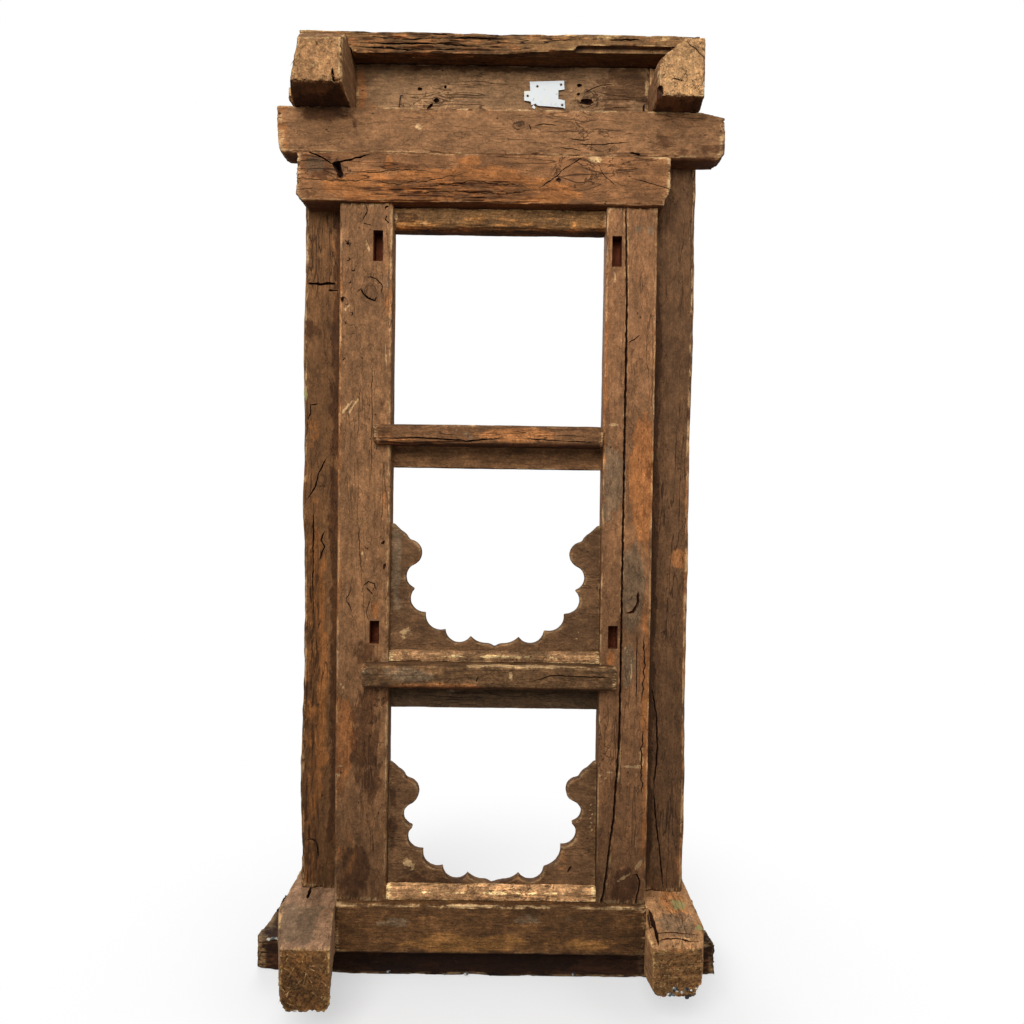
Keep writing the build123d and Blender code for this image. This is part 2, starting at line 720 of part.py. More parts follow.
# The front plank's waney lip hangs down before the frieze and thins out to the right
with BuildPart() as top_plank:
    plank_left = -left_block_edge + top_plank_left_set
    plank_right = right_block_edge - top_plank_right_set
    block(plank_left, plank_right, -top_plank_front, top_plank_depth - top_plank_front,
          block_top, plank_top)
    with BuildSketch(Plane.XZ.offset(top_plank_front)):
        lip_left = 1 - half_block_gap + joint_clearance
        Polygon((lip_left, block_top), (lip_left, block_top - plank_lip_drop),
                (0, block_top - plank_lip_drop), (opening_width / 3, block_top), align=None)
    extrude(amount=-plank_lip_depth)
    with BuildSketch(Plane.XZ.offset(top_plank_front)):
        Polygon((opening_width / 3, block_top), (plank_right, block_top),
                (plank_right, block_top + plank_edge_wear),
                (opening_width * 0.35, block_top + plank_edge_wear), align=None)
    extrude(amount=-plank_edge_wear, mode=Mode.SUBTRACT)
top_plank.part.label = "top_plank"

with BuildPart() as rear_top_plank:
    block(-left_block_edge - rear_plank_left_horn, right_block_edge + rear_plank_right_horn,
          rear_block_reach - rear_plank_depth, rear_block_reach, block_top, plank_top)
    chamfer(rear_top_plank.edges().filter_by(Axis.X).group_by(Axis.Y)[0], timber_wear)
rear_top_plank.part.label = "rear_top_plank"

# The frieze board stands on edge behind the upper lintel, between the blocks
with BuildPart() as frieze_board:
    frieze_half = half_block_gap - joint_clearance
    block(-frieze_half, frieze_half, 0, frieze_thickness, block_bottom - frieze_lap, block_top)
frieze_board.part.label = "frieze_board"

export_step(bottom_sleeper.part, "parts/bottom_sleeper.step")
export_step(left_foot.part, "parts/left_foot.step")
export_step(right_foot.part, "parts/right_foot.step")
export_step(sill_beam.part, "parts/sill_beam.step")
export_step(rear_sill.part, "parts/rear_sill.step")
export_step(left_outer_post.part, "parts/left_outer_post.step")
export_step(right_outer_post.part, "parts/right_outer_post.step")
export_step(left_inner_post.part, "parts/left_inner_post.step")
export_step(right_inner_post.part, "parts/right_inner_post.step")
export_step(right_post_strip.part, "parts/right_post_strip.step")
export_step(head_rail.part, "parts/head_rail.step")
export_step(upper_rail.part, "parts/upper_rail.step")
export_step(lower_rail.part, "parts/lower_rail.step")
export_step(upper_bar, "parts/upper_bar.step")
export_step(lower_bar, "parts/lower_bar.step")
export_step(upper_bead, "parts/upper_bead.step")
export_step(lower_bead, "parts/lower_bead.step")
export_step(upper_cusped_panel, "parts/upper_cusped_panel.step")
export_step(lower_cusped_panel, "parts/lower_cusped_panel.step")
export_step(lower_lintel.part, "parts/lower_lintel.step")
export_step(upper_lintel.part, "parts/upper_lintel.step")
export_step(rear_lintel.part, "parts/rear_lintel.step")
export_step(left_top_block.part, "parts/left_top_block.step")
export_step(right_top_block.part, "parts/right_top_block.step")
export_step(top_plank.part, "parts/top_plank.step")
export_step(rear_top_plank.part, "parts/rear_top_plank.step")
export_step(frieze_board.part, "parts/frieze_board.step")
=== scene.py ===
import json
import math

import bmesh
import bpy
import numpy as np
from mathutils import Matrix, Vector, noise


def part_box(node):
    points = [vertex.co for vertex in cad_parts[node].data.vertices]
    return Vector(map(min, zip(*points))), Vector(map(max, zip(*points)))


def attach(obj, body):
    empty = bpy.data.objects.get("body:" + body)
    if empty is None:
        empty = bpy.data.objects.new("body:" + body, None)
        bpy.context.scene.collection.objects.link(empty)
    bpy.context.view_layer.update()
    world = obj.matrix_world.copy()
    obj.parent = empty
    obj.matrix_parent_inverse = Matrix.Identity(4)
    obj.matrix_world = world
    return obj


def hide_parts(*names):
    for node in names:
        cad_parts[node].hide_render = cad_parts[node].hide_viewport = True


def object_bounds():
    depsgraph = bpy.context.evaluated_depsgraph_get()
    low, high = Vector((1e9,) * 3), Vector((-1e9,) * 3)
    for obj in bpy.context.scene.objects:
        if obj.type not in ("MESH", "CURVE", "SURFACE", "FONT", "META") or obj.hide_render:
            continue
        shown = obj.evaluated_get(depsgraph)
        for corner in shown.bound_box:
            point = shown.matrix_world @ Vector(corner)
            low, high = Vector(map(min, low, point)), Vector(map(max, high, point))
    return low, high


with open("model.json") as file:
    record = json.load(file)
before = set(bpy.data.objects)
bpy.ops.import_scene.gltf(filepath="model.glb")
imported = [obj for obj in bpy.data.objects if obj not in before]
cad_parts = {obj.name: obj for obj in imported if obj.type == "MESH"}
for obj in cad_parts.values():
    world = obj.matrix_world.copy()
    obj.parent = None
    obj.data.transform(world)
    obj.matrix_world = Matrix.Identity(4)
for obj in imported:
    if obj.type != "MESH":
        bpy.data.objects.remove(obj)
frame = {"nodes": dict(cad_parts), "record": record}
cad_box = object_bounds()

MM = 0.001
AXES = {"X": 0, "Y": 1, "Z": 2}


def applied(holder):
    """Plain mesh of an object with its modifiers, and the object taken away."""
    graph = bpy.context.evaluated_depsgraph_get()
    mesh = bpy.data.meshes.new_from_object(holder.evaluated_get(graph))
    bpy.data.objects.remove(holder)
    return mesh


def held(name, mesh):
    """New object of the scene with that mesh."""
    holder = bpy.data.objects.new(name, mesh)
    bpy.context.scene.collection.objects.link(holder)
    return holder


def corners(mesh):
    """The places of a mesh's vertices, one row each."""
    flat = np.empty(len(mesh.vertices) * 3)
    mesh.vertices.foreach_get("co", flat)
    return flat.reshape(-1, 3)


def box_shell(low, high):
    """Closed box between two corners in millimetres."""
    shell = bmesh.new()
    bmesh.ops.create_cube(shell, size=1)
    for vert in shell.verts:
        vert.co = Vector([(a + b) / 2 + c * (b - a) for a, b, c in zip(low, high, vert.co)]) * MM
    return shell


def fine_copy(node, grain, fineness, seats, let_in, filled):
    """Closed fine mesh of a timber. Fineness is its faces' length across and along the grain.

    Shoulders at the seats are let a little into the timber that they butt against, and the
    filled boxes close the plain slots of the model, which are cut crisp later."""
    mesh = frame["nodes"][node].data.copy()
    axis = AXES[grain]
    across, along = fineness
    low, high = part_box(node)
    solid = bmesh.new()
    solid.from_mesh(mesh)
    bmesh.ops.remove_doubles(solid, verts=solid.verts, dist=0.01 * MM)
    for vert in solid.verts:
        for seat in seats:
            if abs(vert.co[axis] - seat) < 0.1 * MM:
                vert.co[axis] += math.copysign(let_in * MM, seat - (low + high)[axis] / 2)
    for corner_pair in filled:
        box_mesh = bpy.data.meshes.new("filling")
        box_shell(*corner_pair).to_mesh(box_mesh)
        solid.from_mesh(box_mesh)
    squeeze = Vector((1, 1, 1))
    squeeze[axis] = across / along
    bmesh.ops.scale(solid, vec=squeeze, verts=solid.verts)
    solid.to_mesh(mesh)
    solid.free()
    holder = held(node + "_fine", mesh)
    remesh = holder.modifiers.new("remesh", "REMESH")
    remesh.mode = "VOXEL"
    remesh.voxel_size = across * MM
    fine = applied(holder)
    fine.vertices.foreach_set("co", (corners(fine) / np.array(squeeze)).ravel())
    fine.materials.clear()
    return fine


def marked(mesh, marks):
    """Store how strongly each point lies in any spot of a kind, fading at its rim.

    A spot is its middle and its reach along X, Y and Z in millimetres, and its strength."""
    full, rim = 0.4, 1.5
    places = corners(mesh) / MM
    for kind, spots in marks.items():
        amount = np.zeros(len(places))
        for middle, reach, strength in spots:
            apart = np.linalg.norm((places - middle) / reach, axis=1)
            fading = np.clip((rim - apart) / (rim - full), 0, 1)
            amount = np.maximum(amount, strength * fading)
        mesh.attributes.new(kind, "FLOAT", "POINT").data.foreach_set("value", amount)


def wire(tree, kind, inputs=(), **settings):
    """Node of a tree with its settings, and its inputs set or linked."""
    made = tree.nodes.new(kind)
    for name, value in settings.items():
        setattr(made, name, value)
    for key, value in dict(inputs).items():
        if isinstance(value, bpy.types.NodeSocket):
            tree.links.new(value, made.inputs[key])
        else:
            made.inputs[key].default_value = value
    return made


def maths(tree, operation, *values):
    """Result of a Math node."""
    return wire(tree, "ShaderNodeMath", enumerate(values), operation=operation).outputs[0]


def vectors(tree, operation, *values, result=0):
    """Result of a Vector Math node."""
    made = wire(tree, "ShaderNodeVectorMath", enumerate(values), operation=operation)
    return made.outputs[result]


def times(tree, vector, share):
    """A vector times a value."""
    return wire(tree, "ShaderNodeVectorMath", {0: vector, "Scale": share},
                operation="SCALE").outputs[0]


def noise_in(tree, place, scale, detail=2.0, roughness=0.5, output=0):
    """Value of a noise over a place."""
    return wire(tree, "ShaderNodeTexNoise", {"Vector": place, "Scale": scale, "Detail": detail,
                                             "Roughness": roughness}).outputs[output]


def ramped(tree, value, low, high, kind="ShaderNodeMapRange"):
    """A value brought to 0 at low and 1 at high, smoothly."""
    return wire(tree, kind, {0: value, 1: low, 2: high, 3: 0.0, 4: 1.0},
                interpolation_type="SMOOTHSTEP").outputs[0]


def hewn_surface_tree():
    """Tree that weathers a timber: it sways along its grain, the adze leaves shallow hollows,
    fibres stand up where it is frayed, and chips are missing along its edges and ends."""
    tree = bpy.data.node_groups.new("hewn_surface", "GeometryNodeTree")
    tree.is_modifier = True
    tree.interface.new_socket("Timber", in_out="INPUT", socket_type="NodeSocketGeometry")
    for name, kind in (("Hew Depth", "Float"), ("Groove Depth", "Float"), ("Chip Depth", "Float"),
                       ("Sway", "Float"), ("Stand Out", "Float"), ("Grain", "Vector"),
                       ("Lowest", "Vector"), ("Highest", "Vector"), ("Seed", "Float"),
                       ("Finish", "Material")):
        tree.interface.new_socket(name, in_out="INPUT", socket_type="NodeSocket" + kind)
    tree.interface.new_socket("Timber", in_out="OUTPUT", socket_type="NodeSocketGeometry")
    given = tree.nodes.new("NodeGroupInput").outputs
    place = wire(tree, "GeometryNodeInputPosition").outputs[0]
    normal = wire(tree, "GeometryNodeInputNormal").outputs[0]
    frayed = wire(tree, "GeometryNodeInputNamedAttribute", {"Name": "frayed"},
                  data_type="FLOAT").outputs[0]
    across = vectors(tree, "SUBTRACT", (1, 1, 1), given["Grain"])

    def along(stretch, shift):
        """Places drawn out along the grain, moved by the seed to another part of a noise."""
        drawn = times(tree, given["Grain"], 1 / stretch)
        scaled = vectors(tree, "MULTIPLY", place, vectors(tree, "ADD", across, drawn))
        return vectors(tree, "ADD", scaled, wire(tree, "ShaderNodeCombineXYZ", {
            0: given["Seed"], 1: maths(tree, "ADD", given["Seed"], shift)}).outputs[0])

    def centred(value, share):
        """A noise about 0 instead of 0.5, times a share."""
        return maths(tree, "MULTIPLY", maths(tree, "SUBTRACT", value, 0.5), share)

    def stands_out(rounds):
        """How far the surface stands out from a smoothed copy of itself."""
        blurred = wire(tree, "GeometryNodeBlurAttribute", {"Value": place, "Iterations": rounds},
                       data_type="FLOAT_VECTOR").outputs[0]
        return vectors(tree, "DOT_PRODUCT", vectors(tree, "SUBTRACT", place, blurred), normal,
                       result="Value")

    def kept(geometry, name, value):
        """Geometry with a value stored under a name."""
        return wire(tree, "GeometryNodeStoreNamedAttribute",
                    {"Geometry": geometry, "Name": name, "Value": value},
                    data_type="FLOAT", domain="POINT").outputs[0]

    hollows = centred(noise_in(tree, along(3.0, 0.0), 13.0, 1.0), 1.5)
    strokes = centred(noise_in(tree, along(1.8, 3.0), 42.0, 2.0, 0.6), 1.0)
    hewn = maths(tree, "MULTIPLY", maths(tree, "ADD", hollows, strokes), given["Hew Depth"])
    fibres = noise_in(tree, along(14.0, 5.0), 230.0, 3.0, 0.65)
    torn = noise_in(tree, along(16.0, 9.0), 75.0, 3.0, 0.65)
    ridged = maths(tree, "SUBTRACT", 1.0, maths(tree, "ABSOLUTE", centred(torn, 4.0)))
    grooves = maths(tree, "POWER", maths(tree, "MAXIMUM", ridged, 0.0), 2.5)
    fuzz = maths(tree, "MULTIPLY", centred(fibres, 1.2), maths(tree, "ADD", frayed, 0.18))
    fuzz = maths(tree, "SUBTRACT", fuzz, maths(tree, "MULTIPLY", grooves, frayed))
    end = maths(tree, "ABSOLUTE", vectors(tree, "DOT_PRODUCT", normal, given["Grain"],
                                          result="Value"))
    end = ramped(tree, end, 0.6, 0.85)
    broken = centred(noise_in(tree, along(1.0, 12.0), 95.0, 4.0, 0.75), 2.2)
    fuzz = maths(tree, "ADD", fuzz, maths(tree, "MULTIPLY", broken, end))
    moved = maths(tree, "MULTIPLY_ADD", fuzz, given["Groove Depth"], hewn)
    edge = maths(tree, "MULTIPLY", stands_out(6), 1000.0)
    chipped = maths(tree, "MULTIPLY", ramped(tree, edge, 0.25, 0.9),
                    ramped(tree, noise_in(tree, along(2.2, 15.0), 48.0, 3.0, 0.6), 0.5, 0.66))
    moved = maths(tree, "SUBTRACT", moved, maths(tree, "MULTIPLY", chipped, given["Chip Depth"]))
    moved = maths(tree, "ADD", moved, given["Stand Out"])
    station = vectors(tree, "MULTIPLY", place, given["Grain"])
    swaying = noise_in(tree, vectors(tree, "ADD", station, given["Seed"]), 3.4, 2.0, 0.5, output=1)
    swaying = vectors(tree, "SUBTRACT", swaying, (0.5, 0.5, 0.5))
    swaying = vectors(tree, "MULTIPLY", swaying, across)
    swaying = times(tree, swaying, given["Sway"])
    worn = times(tree, normal, moved)
    timber = kept(given["Timber"], "edge", edge)
    timber = kept(timber, "end", end)
    timber = kept(timber, "chip", chipped)
    timber = wire(tree, "GeometryNodeSetPosition", {
        "Geometry": timber, "Offset": vectors(tree, "ADD", worn, swaying)}).outputs[0]
    within = vectors(tree, "MINIMUM", vectors(tree, "MAXIMUM", place, given["Lowest"]),
                     given["Highest"])
    timber = wire(tree, "GeometryNodeSetPosition",
                  {"Geometry": timber, "Position": within}).outputs[0]
    timber = kept(timber, "relief", maths(tree, "MULTIPLY", stands_out(3), 1600.0))
    timber = wire(tree, "GeometryNodeRealizeInstances", {0: timber}).outputs[0]
    timber = wire(tree, "GeometryNodeSetMaterial",
                  {"Geometry": timber, "Material": given["Finish"]}).outputs[0]
    timber = wire(tree, "GeometryNodeSetShadeSmooth", {"Geometry": timber}).outputs[0]
    tree.links.new(timber, tree.nodes.new("NodeGroupOutput").inputs[0])
    return tree


def give(modifier, **values):
    """Set a node modifier's inputs by their sockets' identifiers."""
    for item in modifier.node_group.interface.items_tree:
        key = item.name.replace(" ", "_").lower()
        if item.in_out == "INPUT" and key in values:
            modifier[item.identifier] = values[key]


def apart(tools):
    """Cutting tools sorted into groups in which no two of their boxes meet."""
    groups = []
    for tool in tools:
        places = np.array([vert.co for vert in tool.verts])
        low, high = places.min(0), places.max(0)
        for group in groups:
            if all((low > other_high).any() or (high < other_low).any()
                   for _, other_low, other_high in group):
                group.append((tool, low, high))
                break
        else:
            groups.append([(tool, low, high)])
    return [[tool for tool, _, _ in group] for group in groups]


def cut_away(mesh, tools, finish):
    """The mesh with the tools cut out of it, and the finish on the cut faces."""
    cutters = []
    for group in apart(tools):
        joined = bmesh.new()
        for tool in group:
            one = bpy.data.meshes.new("tool")
            tool.to_mesh(one)
            joined.from_mesh(one)
        cutter_mesh = bpy.data.meshes.new("cutter")
        joined.to_mesh(cutter_mesh)
        cutter_mesh.materials.append(finish)
        cutters.append(held("cutter", cutter_mesh))
    holder = held("to_cut", mesh)
    for cutter in cutters:
        cut = holder.modifiers.new("cut", "BOOLEAN")
        cut.operation = "DIFFERENCE"
        cut.solver = "MANIFOLD"
        cut.material_mode = "TRANSFER"
        cut.object = cutter
    mesh = applied(holder)
    for cutter in cutters:
        bpy.data.objects.remove(cutter)
    return mesh


def tone(red, green, blue):
    """A colour given from 0 to 255 as the shader's linear colour."""
    parts = [c / 255 for c in (red, green, blue)]
    return tuple(((c + 0.055) / 1.055) ** 2.4 if c > 0.04 else c / 12.92 for c in parts) + (1,)


def mixed(tree, share, under, over, blend="MIX"):
    """Colour of a Mix node."""
    return wire(tree, "ShaderNodeMix", {0: share, 6: under, 7: over}, data_type="RGBA",
                blend_type=blend, clamp_factor=True).outputs[2]


def carried(tree, name):
    """A value that the piece's own mesh carries."""
    return wire(tree, "ShaderNodeAttribute", attribute_name=name).outputs["Fac"]


def bent_round(tree, place, knots):
    """The place drawn towards each knot, so that fibres flow round it, and a value that
    rises from 0 outside the knots to 1 at their hearts."""
    bent, heart = place, 0.0
    for middle, radius in knots:
        from_knot = vectors(tree, "SUBTRACT", place, Vector(middle) * MM)
        distance = maths(tree, "DIVIDE", vectors(tree, "LENGTH", from_knot, result="Value"),
                         radius * MM)
        squared = maths(tree, "MULTIPLY", distance, distance)
        near = maths(tree, "EXPONENT", maths(tree, "MULTIPLY", squared, -0.8))
        pull = times(tree, from_knot, maths(tree, "MULTIPLY", near, 0.85))
        bent = vectors(tree, "SUBTRACT", bent, pull)
        heart = maths(tree, "MAXIMUM", near, heart)
    return bent, heart


def shaded(tree, colour, factor):
    """A tone times a factor."""
    return times(tree, tone(*colour)[:3], factor)


def thin_lines(tree, value, width):
    """1 on the thin winding lines where a noise passes its middle."""
    off = maths(tree, "ABSOLUTE", maths(tree, "SUBTRACT", value, 0.5))
    return maths(tree, "SUBTRACT", 1.0, ramped(tree, off, 0.0, width))


def timber_finish(name, grain, base, seed, warm=(160, 103, 58), pale=(200, 164, 116),
                  end_tone=None, torn=(0, 1), contrast=1.0, stripes=0.65, edge_rub_and_highlight=0.6, knots=(),
                  foot=None):
    """Old unplaned timber: an even brown, mottled and fibrous, with warm, dark, grey and
    pale patches, torn fibres, thin cracks and worm holes. Undersides are darkened as soot
    and as painted shade, hollows as painted shade, and edges are paled as rubbed wear and
    as painted highlight; some of a piece's dark spots are painted shade too."""
    material = bpy.data.materials.new(name)
    material.use_nodes = True
    tree = material.node_tree
    place = wire(tree, "ShaderNodeTexCoord").outputs["Object"]
    bent, heart = bent_round(tree, place, knots)

    def along(stretch, shift):
        scale = Vector((1, 1, 1))
        scale[AXES[grain]] = 1 / stretch
        return wire(tree, "ShaderNodeMapping", {"Vector": bent, "Scale": scale, "Location": (
            seed, shift, 0)}).outputs[0]

    def centred(value, share):
        return maths(tree, "MULTIPLY", maths(tree, "SUBTRACT", value, 0.5), share * contrast)

    def patch(kind, patches, threshold, strength):
        """Where a noise, raised by the piece's own spots of that kind, passes a threshold."""
        raised = maths(tree, "MULTIPLY_ADD", carried(tree, kind), 0.3, patches)
        return maths(tree, "MULTIPLY", ramped(tree, raised, threshold, threshold + 0.07), strength)

    fibre = noise_in(tree, along(16, 0), 330.0, 3.0, 0.7)
    lines = noise_in(tree, along(9, 1), 92.0, 4.0, 0.7)
    mottle = noise_in(tree, along(1.7, 2), 40.0, 5.0, 0.7)
    clouds = noise_in(tree, along(2.4, 3), 9.0, 3.0, 0.55)
    speck = noise_in(tree, along(1.4, 4), 380.0, 2.0, 0.7)
    rough = noise_in(tree, along(1.5, 15), 130.0, 4.0, 0.7)
    blots = noise_in(tree, along(1.6, 5), 17.0, 5.0, 0.68)
    drifts = noise_in(tree, along(2.2, 6), 13.0, 6.0, 0.66)
    soot_and_shade = noise_in(tree, along(1.8, 7), 15.0, 6.0, 0.68)
    creases = thin_lines(tree, noise_in(tree, along(3.2, 16), 21.0, 5.0, 0.6), 0.014)
    creases = maths(tree, "MULTIPLY", creases, ramped(tree, rough, 0.42, 0.55))
    shade = centred(fibre, 1.8 * stripes)
    for value, share in ((lines, 1.9 * stripes), (mottle, 2.4), (clouds, 1.6), (speck, 1.6),
                         (rough, 1.9)):
        shade = maths(tree, "ADD", shade, centred(value, share))
    shade = maths(tree, "SUBTRACT", shade, maths(tree, "MULTIPLY", creases, 0.5))
    ring_count = maths(tree, "MULTIPLY_ADD", mottle, 9.0, maths(tree, "MULTIPLY", heart, 20.0))
    rings = maths(tree, "MULTIPLY_ADD", maths(tree, "SINE", ring_count), 0.25, 0.6)
    rings = maths(tree, "MULTIPLY", rings, maths(tree, "POWER", heart, 1.5))
    shade = maths(tree, "SUBTRACT", shade, rings)
    factor = maths(tree, "POWER", 2.0, shade)
    if foot:
        low, high, share = foot
        height = wire(tree, "ShaderNodeSeparateXYZ", {0: place}).outputs[2]
        lit = wire(tree, "ShaderNodeMapRange", {0: height, 1: low * MM, 2: high * MM, 3: share,
                                                4: 1.0}).outputs[0]
        factor = maths(tree, "MULTIPLY", factor, lit)
    light = shaded(tree, warm, factor)
    pale_tone = shaded(tree, pale, factor)
    colour = mixed(tree, patch("warm", drifts, 0.64, 0.7), shaded(tree, base, factor), light)
    greyed = shaded(tree, (118, 96, 72), factor)
    colour = mixed(tree, patch("grey", blots, 0.66, 0.7), colour, greyed)
    # Dark patches, multiplied by tone 146,126,108: sooty noise, raised by the piece's dark spots,
    # some of which are painted shade.
    colour = mixed(tree, patch("dark", soot_and_shade, 0.66, 0.7), colour, tone(146, 126, 108), "MULTIPLY")
    colour = mixed(tree, patch("pale", mottle, 0.72, 0.6), colour, pale_tone)
    colour = mixed(tree, patch("lichen", rough, 0.74, 0.7), colour, tone(158, 160, 104))
    frayed = carried(tree, "frayed")
    tufts = noise_in(tree, along(10, 8), 190.0, 4.0, 0.75)
    straw = mixed(tree, ramped(tree, mottle, 0.4, 0.6), shaded(tree, base, factor), light)
    straw = mixed(tree, ramped(tree, tufts, 0.34, 0.66), shaded(tree, base, 0.45), straw)
    torn_there = ramped(tree, maths(tree, "ADD", frayed, centred(mottle, 1.6)), 0.3, 0.75)
    colour = mixed(tree, maths(tree, "MULTIPLY", torn_there, 0.85), colour, straw)
    end = carried(tree, "end")
    turn, stretch = torn
    turned = wire(tree, "ShaderNodeMapping",
                  {"Vector": place, "Rotation": (0, math.radians(turn), 0)}).outputs[0]
    laid = wire(tree, "ShaderNodeMapping", {"Vector": turned, "Scale": (1 / stretch, 1, 1),
                                            "Location": (seed, 0, 0)}).outputs[0]
    layers = noise_in(tree, laid, 110.0, 4.0, 0.7)
    flecks = thin_lines(tree, noise_in(tree, laid, 72.0, 1.0, 0.5), 0.05)
    flecks = maths(tree, "MULTIPLY", flecks, ramped(tree, rough, 0.48, 0.6))
    end_shade = maths(tree, "ADD", centred(layers, 4.2), centred(speck, 2.0))
    end_shade = maths(tree, "ADD", centred(blots, 2.4), end_shade)
    worn_end = shaded(tree, end_tone or base, maths(tree, "POWER", 2.0, end_shade))
    hollow = ramped(tree, maths(tree, "SUBTRACT", 1.0, mottle), 0.56, 0.66)
    worn_end = mixed(tree, maths(tree, "MULTIPLY", hollow, 0.7), worn_end, tone(64, 36, 18))
    worn_end = mixed(tree, maths(tree, "MULTIPLY", flecks, 0.75), worn_end, tone(*pale))
    colour = mixed(tree, maths(tree, "MULTIPLY", end, 0.92), colour, worn_end)
    # Convex edges are paled: rubbed wear, and a painted highlight where the light catches them.
    edge = carried(tree, "edge")
    uneven = ramped(tree, maths(tree, "ADD", mottle, centred(fibre, 0.5)), 0.44, 0.58)
    rubbed_and_lit_edges = maths(tree, "MULTIPLY", ramped(tree, edge, 0.2, 0.8), uneven)
    colour = mixed(tree, maths(tree, "MULTIPLY", rubbed_and_lit_edges, edge_rub_and_highlight), colour, pale_tone)
    colour = mixed(tree, maths(tree, "MULTIPLY", carried(tree, "chip"), 0.5), colour, light)
    hairs = thin_lines(tree, noise_in(tree, along(12, 10), 38.0, 3.0, 0.55), 0.012)
    hairs = maths(tree, "MULTIPLY", hairs, ramped(tree, clouds, 0.5, 0.56))
    curls = thin_lines(tree, noise_in(tree, along(1.5, 12), 30.0, 4.0, 0.6), 0.014)
    gnarled = ramped(tree, maths(tree, "MULTIPLY_ADD", heart, 0.4, clouds), 0.6, 0.68)
    curls = maths(tree, "MULTIPLY", curls, gnarled)
    worm = wire(tree, "ShaderNodeTexVoronoi", {"Vector": along(1.6, 13), "Scale": 95.0}).outputs[0]
    holes = maths(tree, "SUBTRACT", 1.0, ramped(tree, worm, 0.1, 0.2))
    holes = maths(tree, "MULTIPLY", holes, ramped(tree, noise_in(tree, along(1, 14), 33.0, 1.0),
                                                  0.6, 0.66))
    # Painted shade in the hollows: concave edges and sunken relief darken towards tone 36,20,11,
    # together with the dark grain hairs, curls and worm holes.
    hollow_shade_and_lines = maths(tree, "SUBTRACT", 1.0, ramped(tree, edge, -1.2, -0.1))
    hollow_shade_and_lines = maths(tree, "MULTIPLY", hollow_shade_and_lines, 0.9)
    sunk_shade = maths(tree, "SUBTRACT", 1.0, ramped(tree, carried(tree, "relief"), -1.2, -0.1))
    for value, share in ((sunk_shade, 0.55), (hairs, 1.1 * stripes), (curls, 0.7), (holes, 0.8)):
        hollow_shade_and_lines = maths(tree, "MAXIMUM", hollow_shade_and_lines, maths(tree, "MULTIPLY", value, share))
    colour = mixed(tree, hollow_shade_and_lines, colour, tone(36, 20, 11))
    # Undersides are darkened towards tone 182,158,136, partly as soot and partly as painted shade
    # from the light above.
    outward = wire(tree, "ShaderNodeNewGeometry").outputs["Normal"]
    facing = wire(tree, "ShaderNodeSeparateXYZ", {0: outward}).outputs[2]
    under = maths(tree, "SUBTRACT", 1.0, ramped(tree, facing, -0.75, -0.25))
    colour = mixed(tree, under, colour, tone(182, 158, 136), "MULTIPLY")
    height = maths(tree, "MULTIPLY", fibre, 0.5)
    for value, share in ((hairs, -1.0), (curls, -1.0), (creases, -0.7), (lines, 1.4 * stripes),
                         (mottle, 1.8), (rough, 1.7)):
        height = maths(tree, "MULTIPLY_ADD", value, share, height)
    for value, where, share in ((tufts, frayed, 2.2), (layers, end, 3.0), (flecks, end, 0.8)):
        raised = maths(tree, "MULTIPLY", value, maths(tree, "MULTIPLY", where, share))
        height = maths(tree, "ADD", height, raised)
    bump = wire(tree, "ShaderNodeBump", {"Height": height, "Strength": 1.0, "Distance": 1.8 * MM})
    surface = tree.nodes["Principled BSDF"]
    surface.inputs["Specular IOR Level"].default_value = 0.18
    tree.links.new(maths(tree, "MULTIPLY_ADD", fibre, 0.25, 0.68), surface.inputs["Roughness"])
    tree.links.new(colour, surface.inputs["Base Color"])
    tree.links.new(bump.outputs[0], surface.inputs["Normal"])
    return material


hewn_surface = hewn_surface_tree()
inner_wood = timber_finish("inner_wood", "Z", (62, 33, 17), 1.0, contrast=0.8)
mortise_wood = timber_finish("mortise_wood", "Z", (96, 46, 22), 1.5, contrast=0.8)


def weathered(node, grain, fineness, finish, seats=(), let_in=4.0, filled=(), shaped=None,
              marks=(), tools=(), mortises=(), hew=2.0, groove=2.5, chip=4.0, sway=0.0,
              stand_out=0.0):
    """A timber made fine, marked, worn by the hewn surface tree and cut by its tools, which
    stands for its CAD node. Depths are in millimetres."""
    mesh = fine_copy(node, grain, fineness, seats, let_in, filled)
    if shaped:
        shaped(mesh)
    marked(mesh, dict(marks))
    holder = held(node + "_worn", mesh)
    surface = holder.modifiers.new("hewn", "NODES")
    surface.node_group = hewn_surface
    direction = Vector((0, 0, 0))
    direction[AXES[grain]] = 1
    give(surface, hew_depth=hew * MM, groove_depth=groove * MM, chip_depth=chip * MM,
         sway=sway * MM, stand_out=stand_out * MM, grain=direction, lowest=cad_box[0],
         highest=cad_box[1], seed=float(len(node)), finish=finish)
    worn = applied(holder)
    if mortises:
        worn = cut_away(worn, mortises, mortise_wood)
    if tools:
        worn = cut_away(worn, tools, inner_wood)
    worn.set_sharp_from_angle(angle=math.radians(52))
    timber = held(node + "_timber", worn)
    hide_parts(node)
    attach(timber, "root")
    return timber


sleeper_wood = timber_finish("sleeper_wood", "X", (54, 31, 16), 2.0, warm=(110, 68, 36), edge_rub_and_highlight=0.3)
weathered(
    "bottom_sleeper", "X", (3.5, 9.0), sleeper_wood, hew=2.5, stand_out=-2.0,
    marks={
        "frayed": [((-440, -15, 30), (45, 30, 40), 0.8), ((430, -15, 30), (50, 30, 40), 0.7)],
        "grey": [((-460, 10, 60), (40, 40, 10), 1.0)],
        # The dark band along the middle is painted shadow under the sill beam.
        "dark": [((0, -20, 30), (300, 30, 60), 1.0)]})

# Feet: two ties that run through the wall and rest across the sleeper. They were hewn from
# thicker logs; the noses in front are worn and broken, and the tops are trodden smooth.
OUTWARD = {"Y": Vector((0, -1, 0)), "Z": Vector((0, 0, 1))}


def on_face(point, face, axis):
    """A point of the room face (x, z) or of the top (x, y), in metres."""
    x, other = point
    return Vector((x, face, other) if axis == "Y" else (x, other, face)) * MM


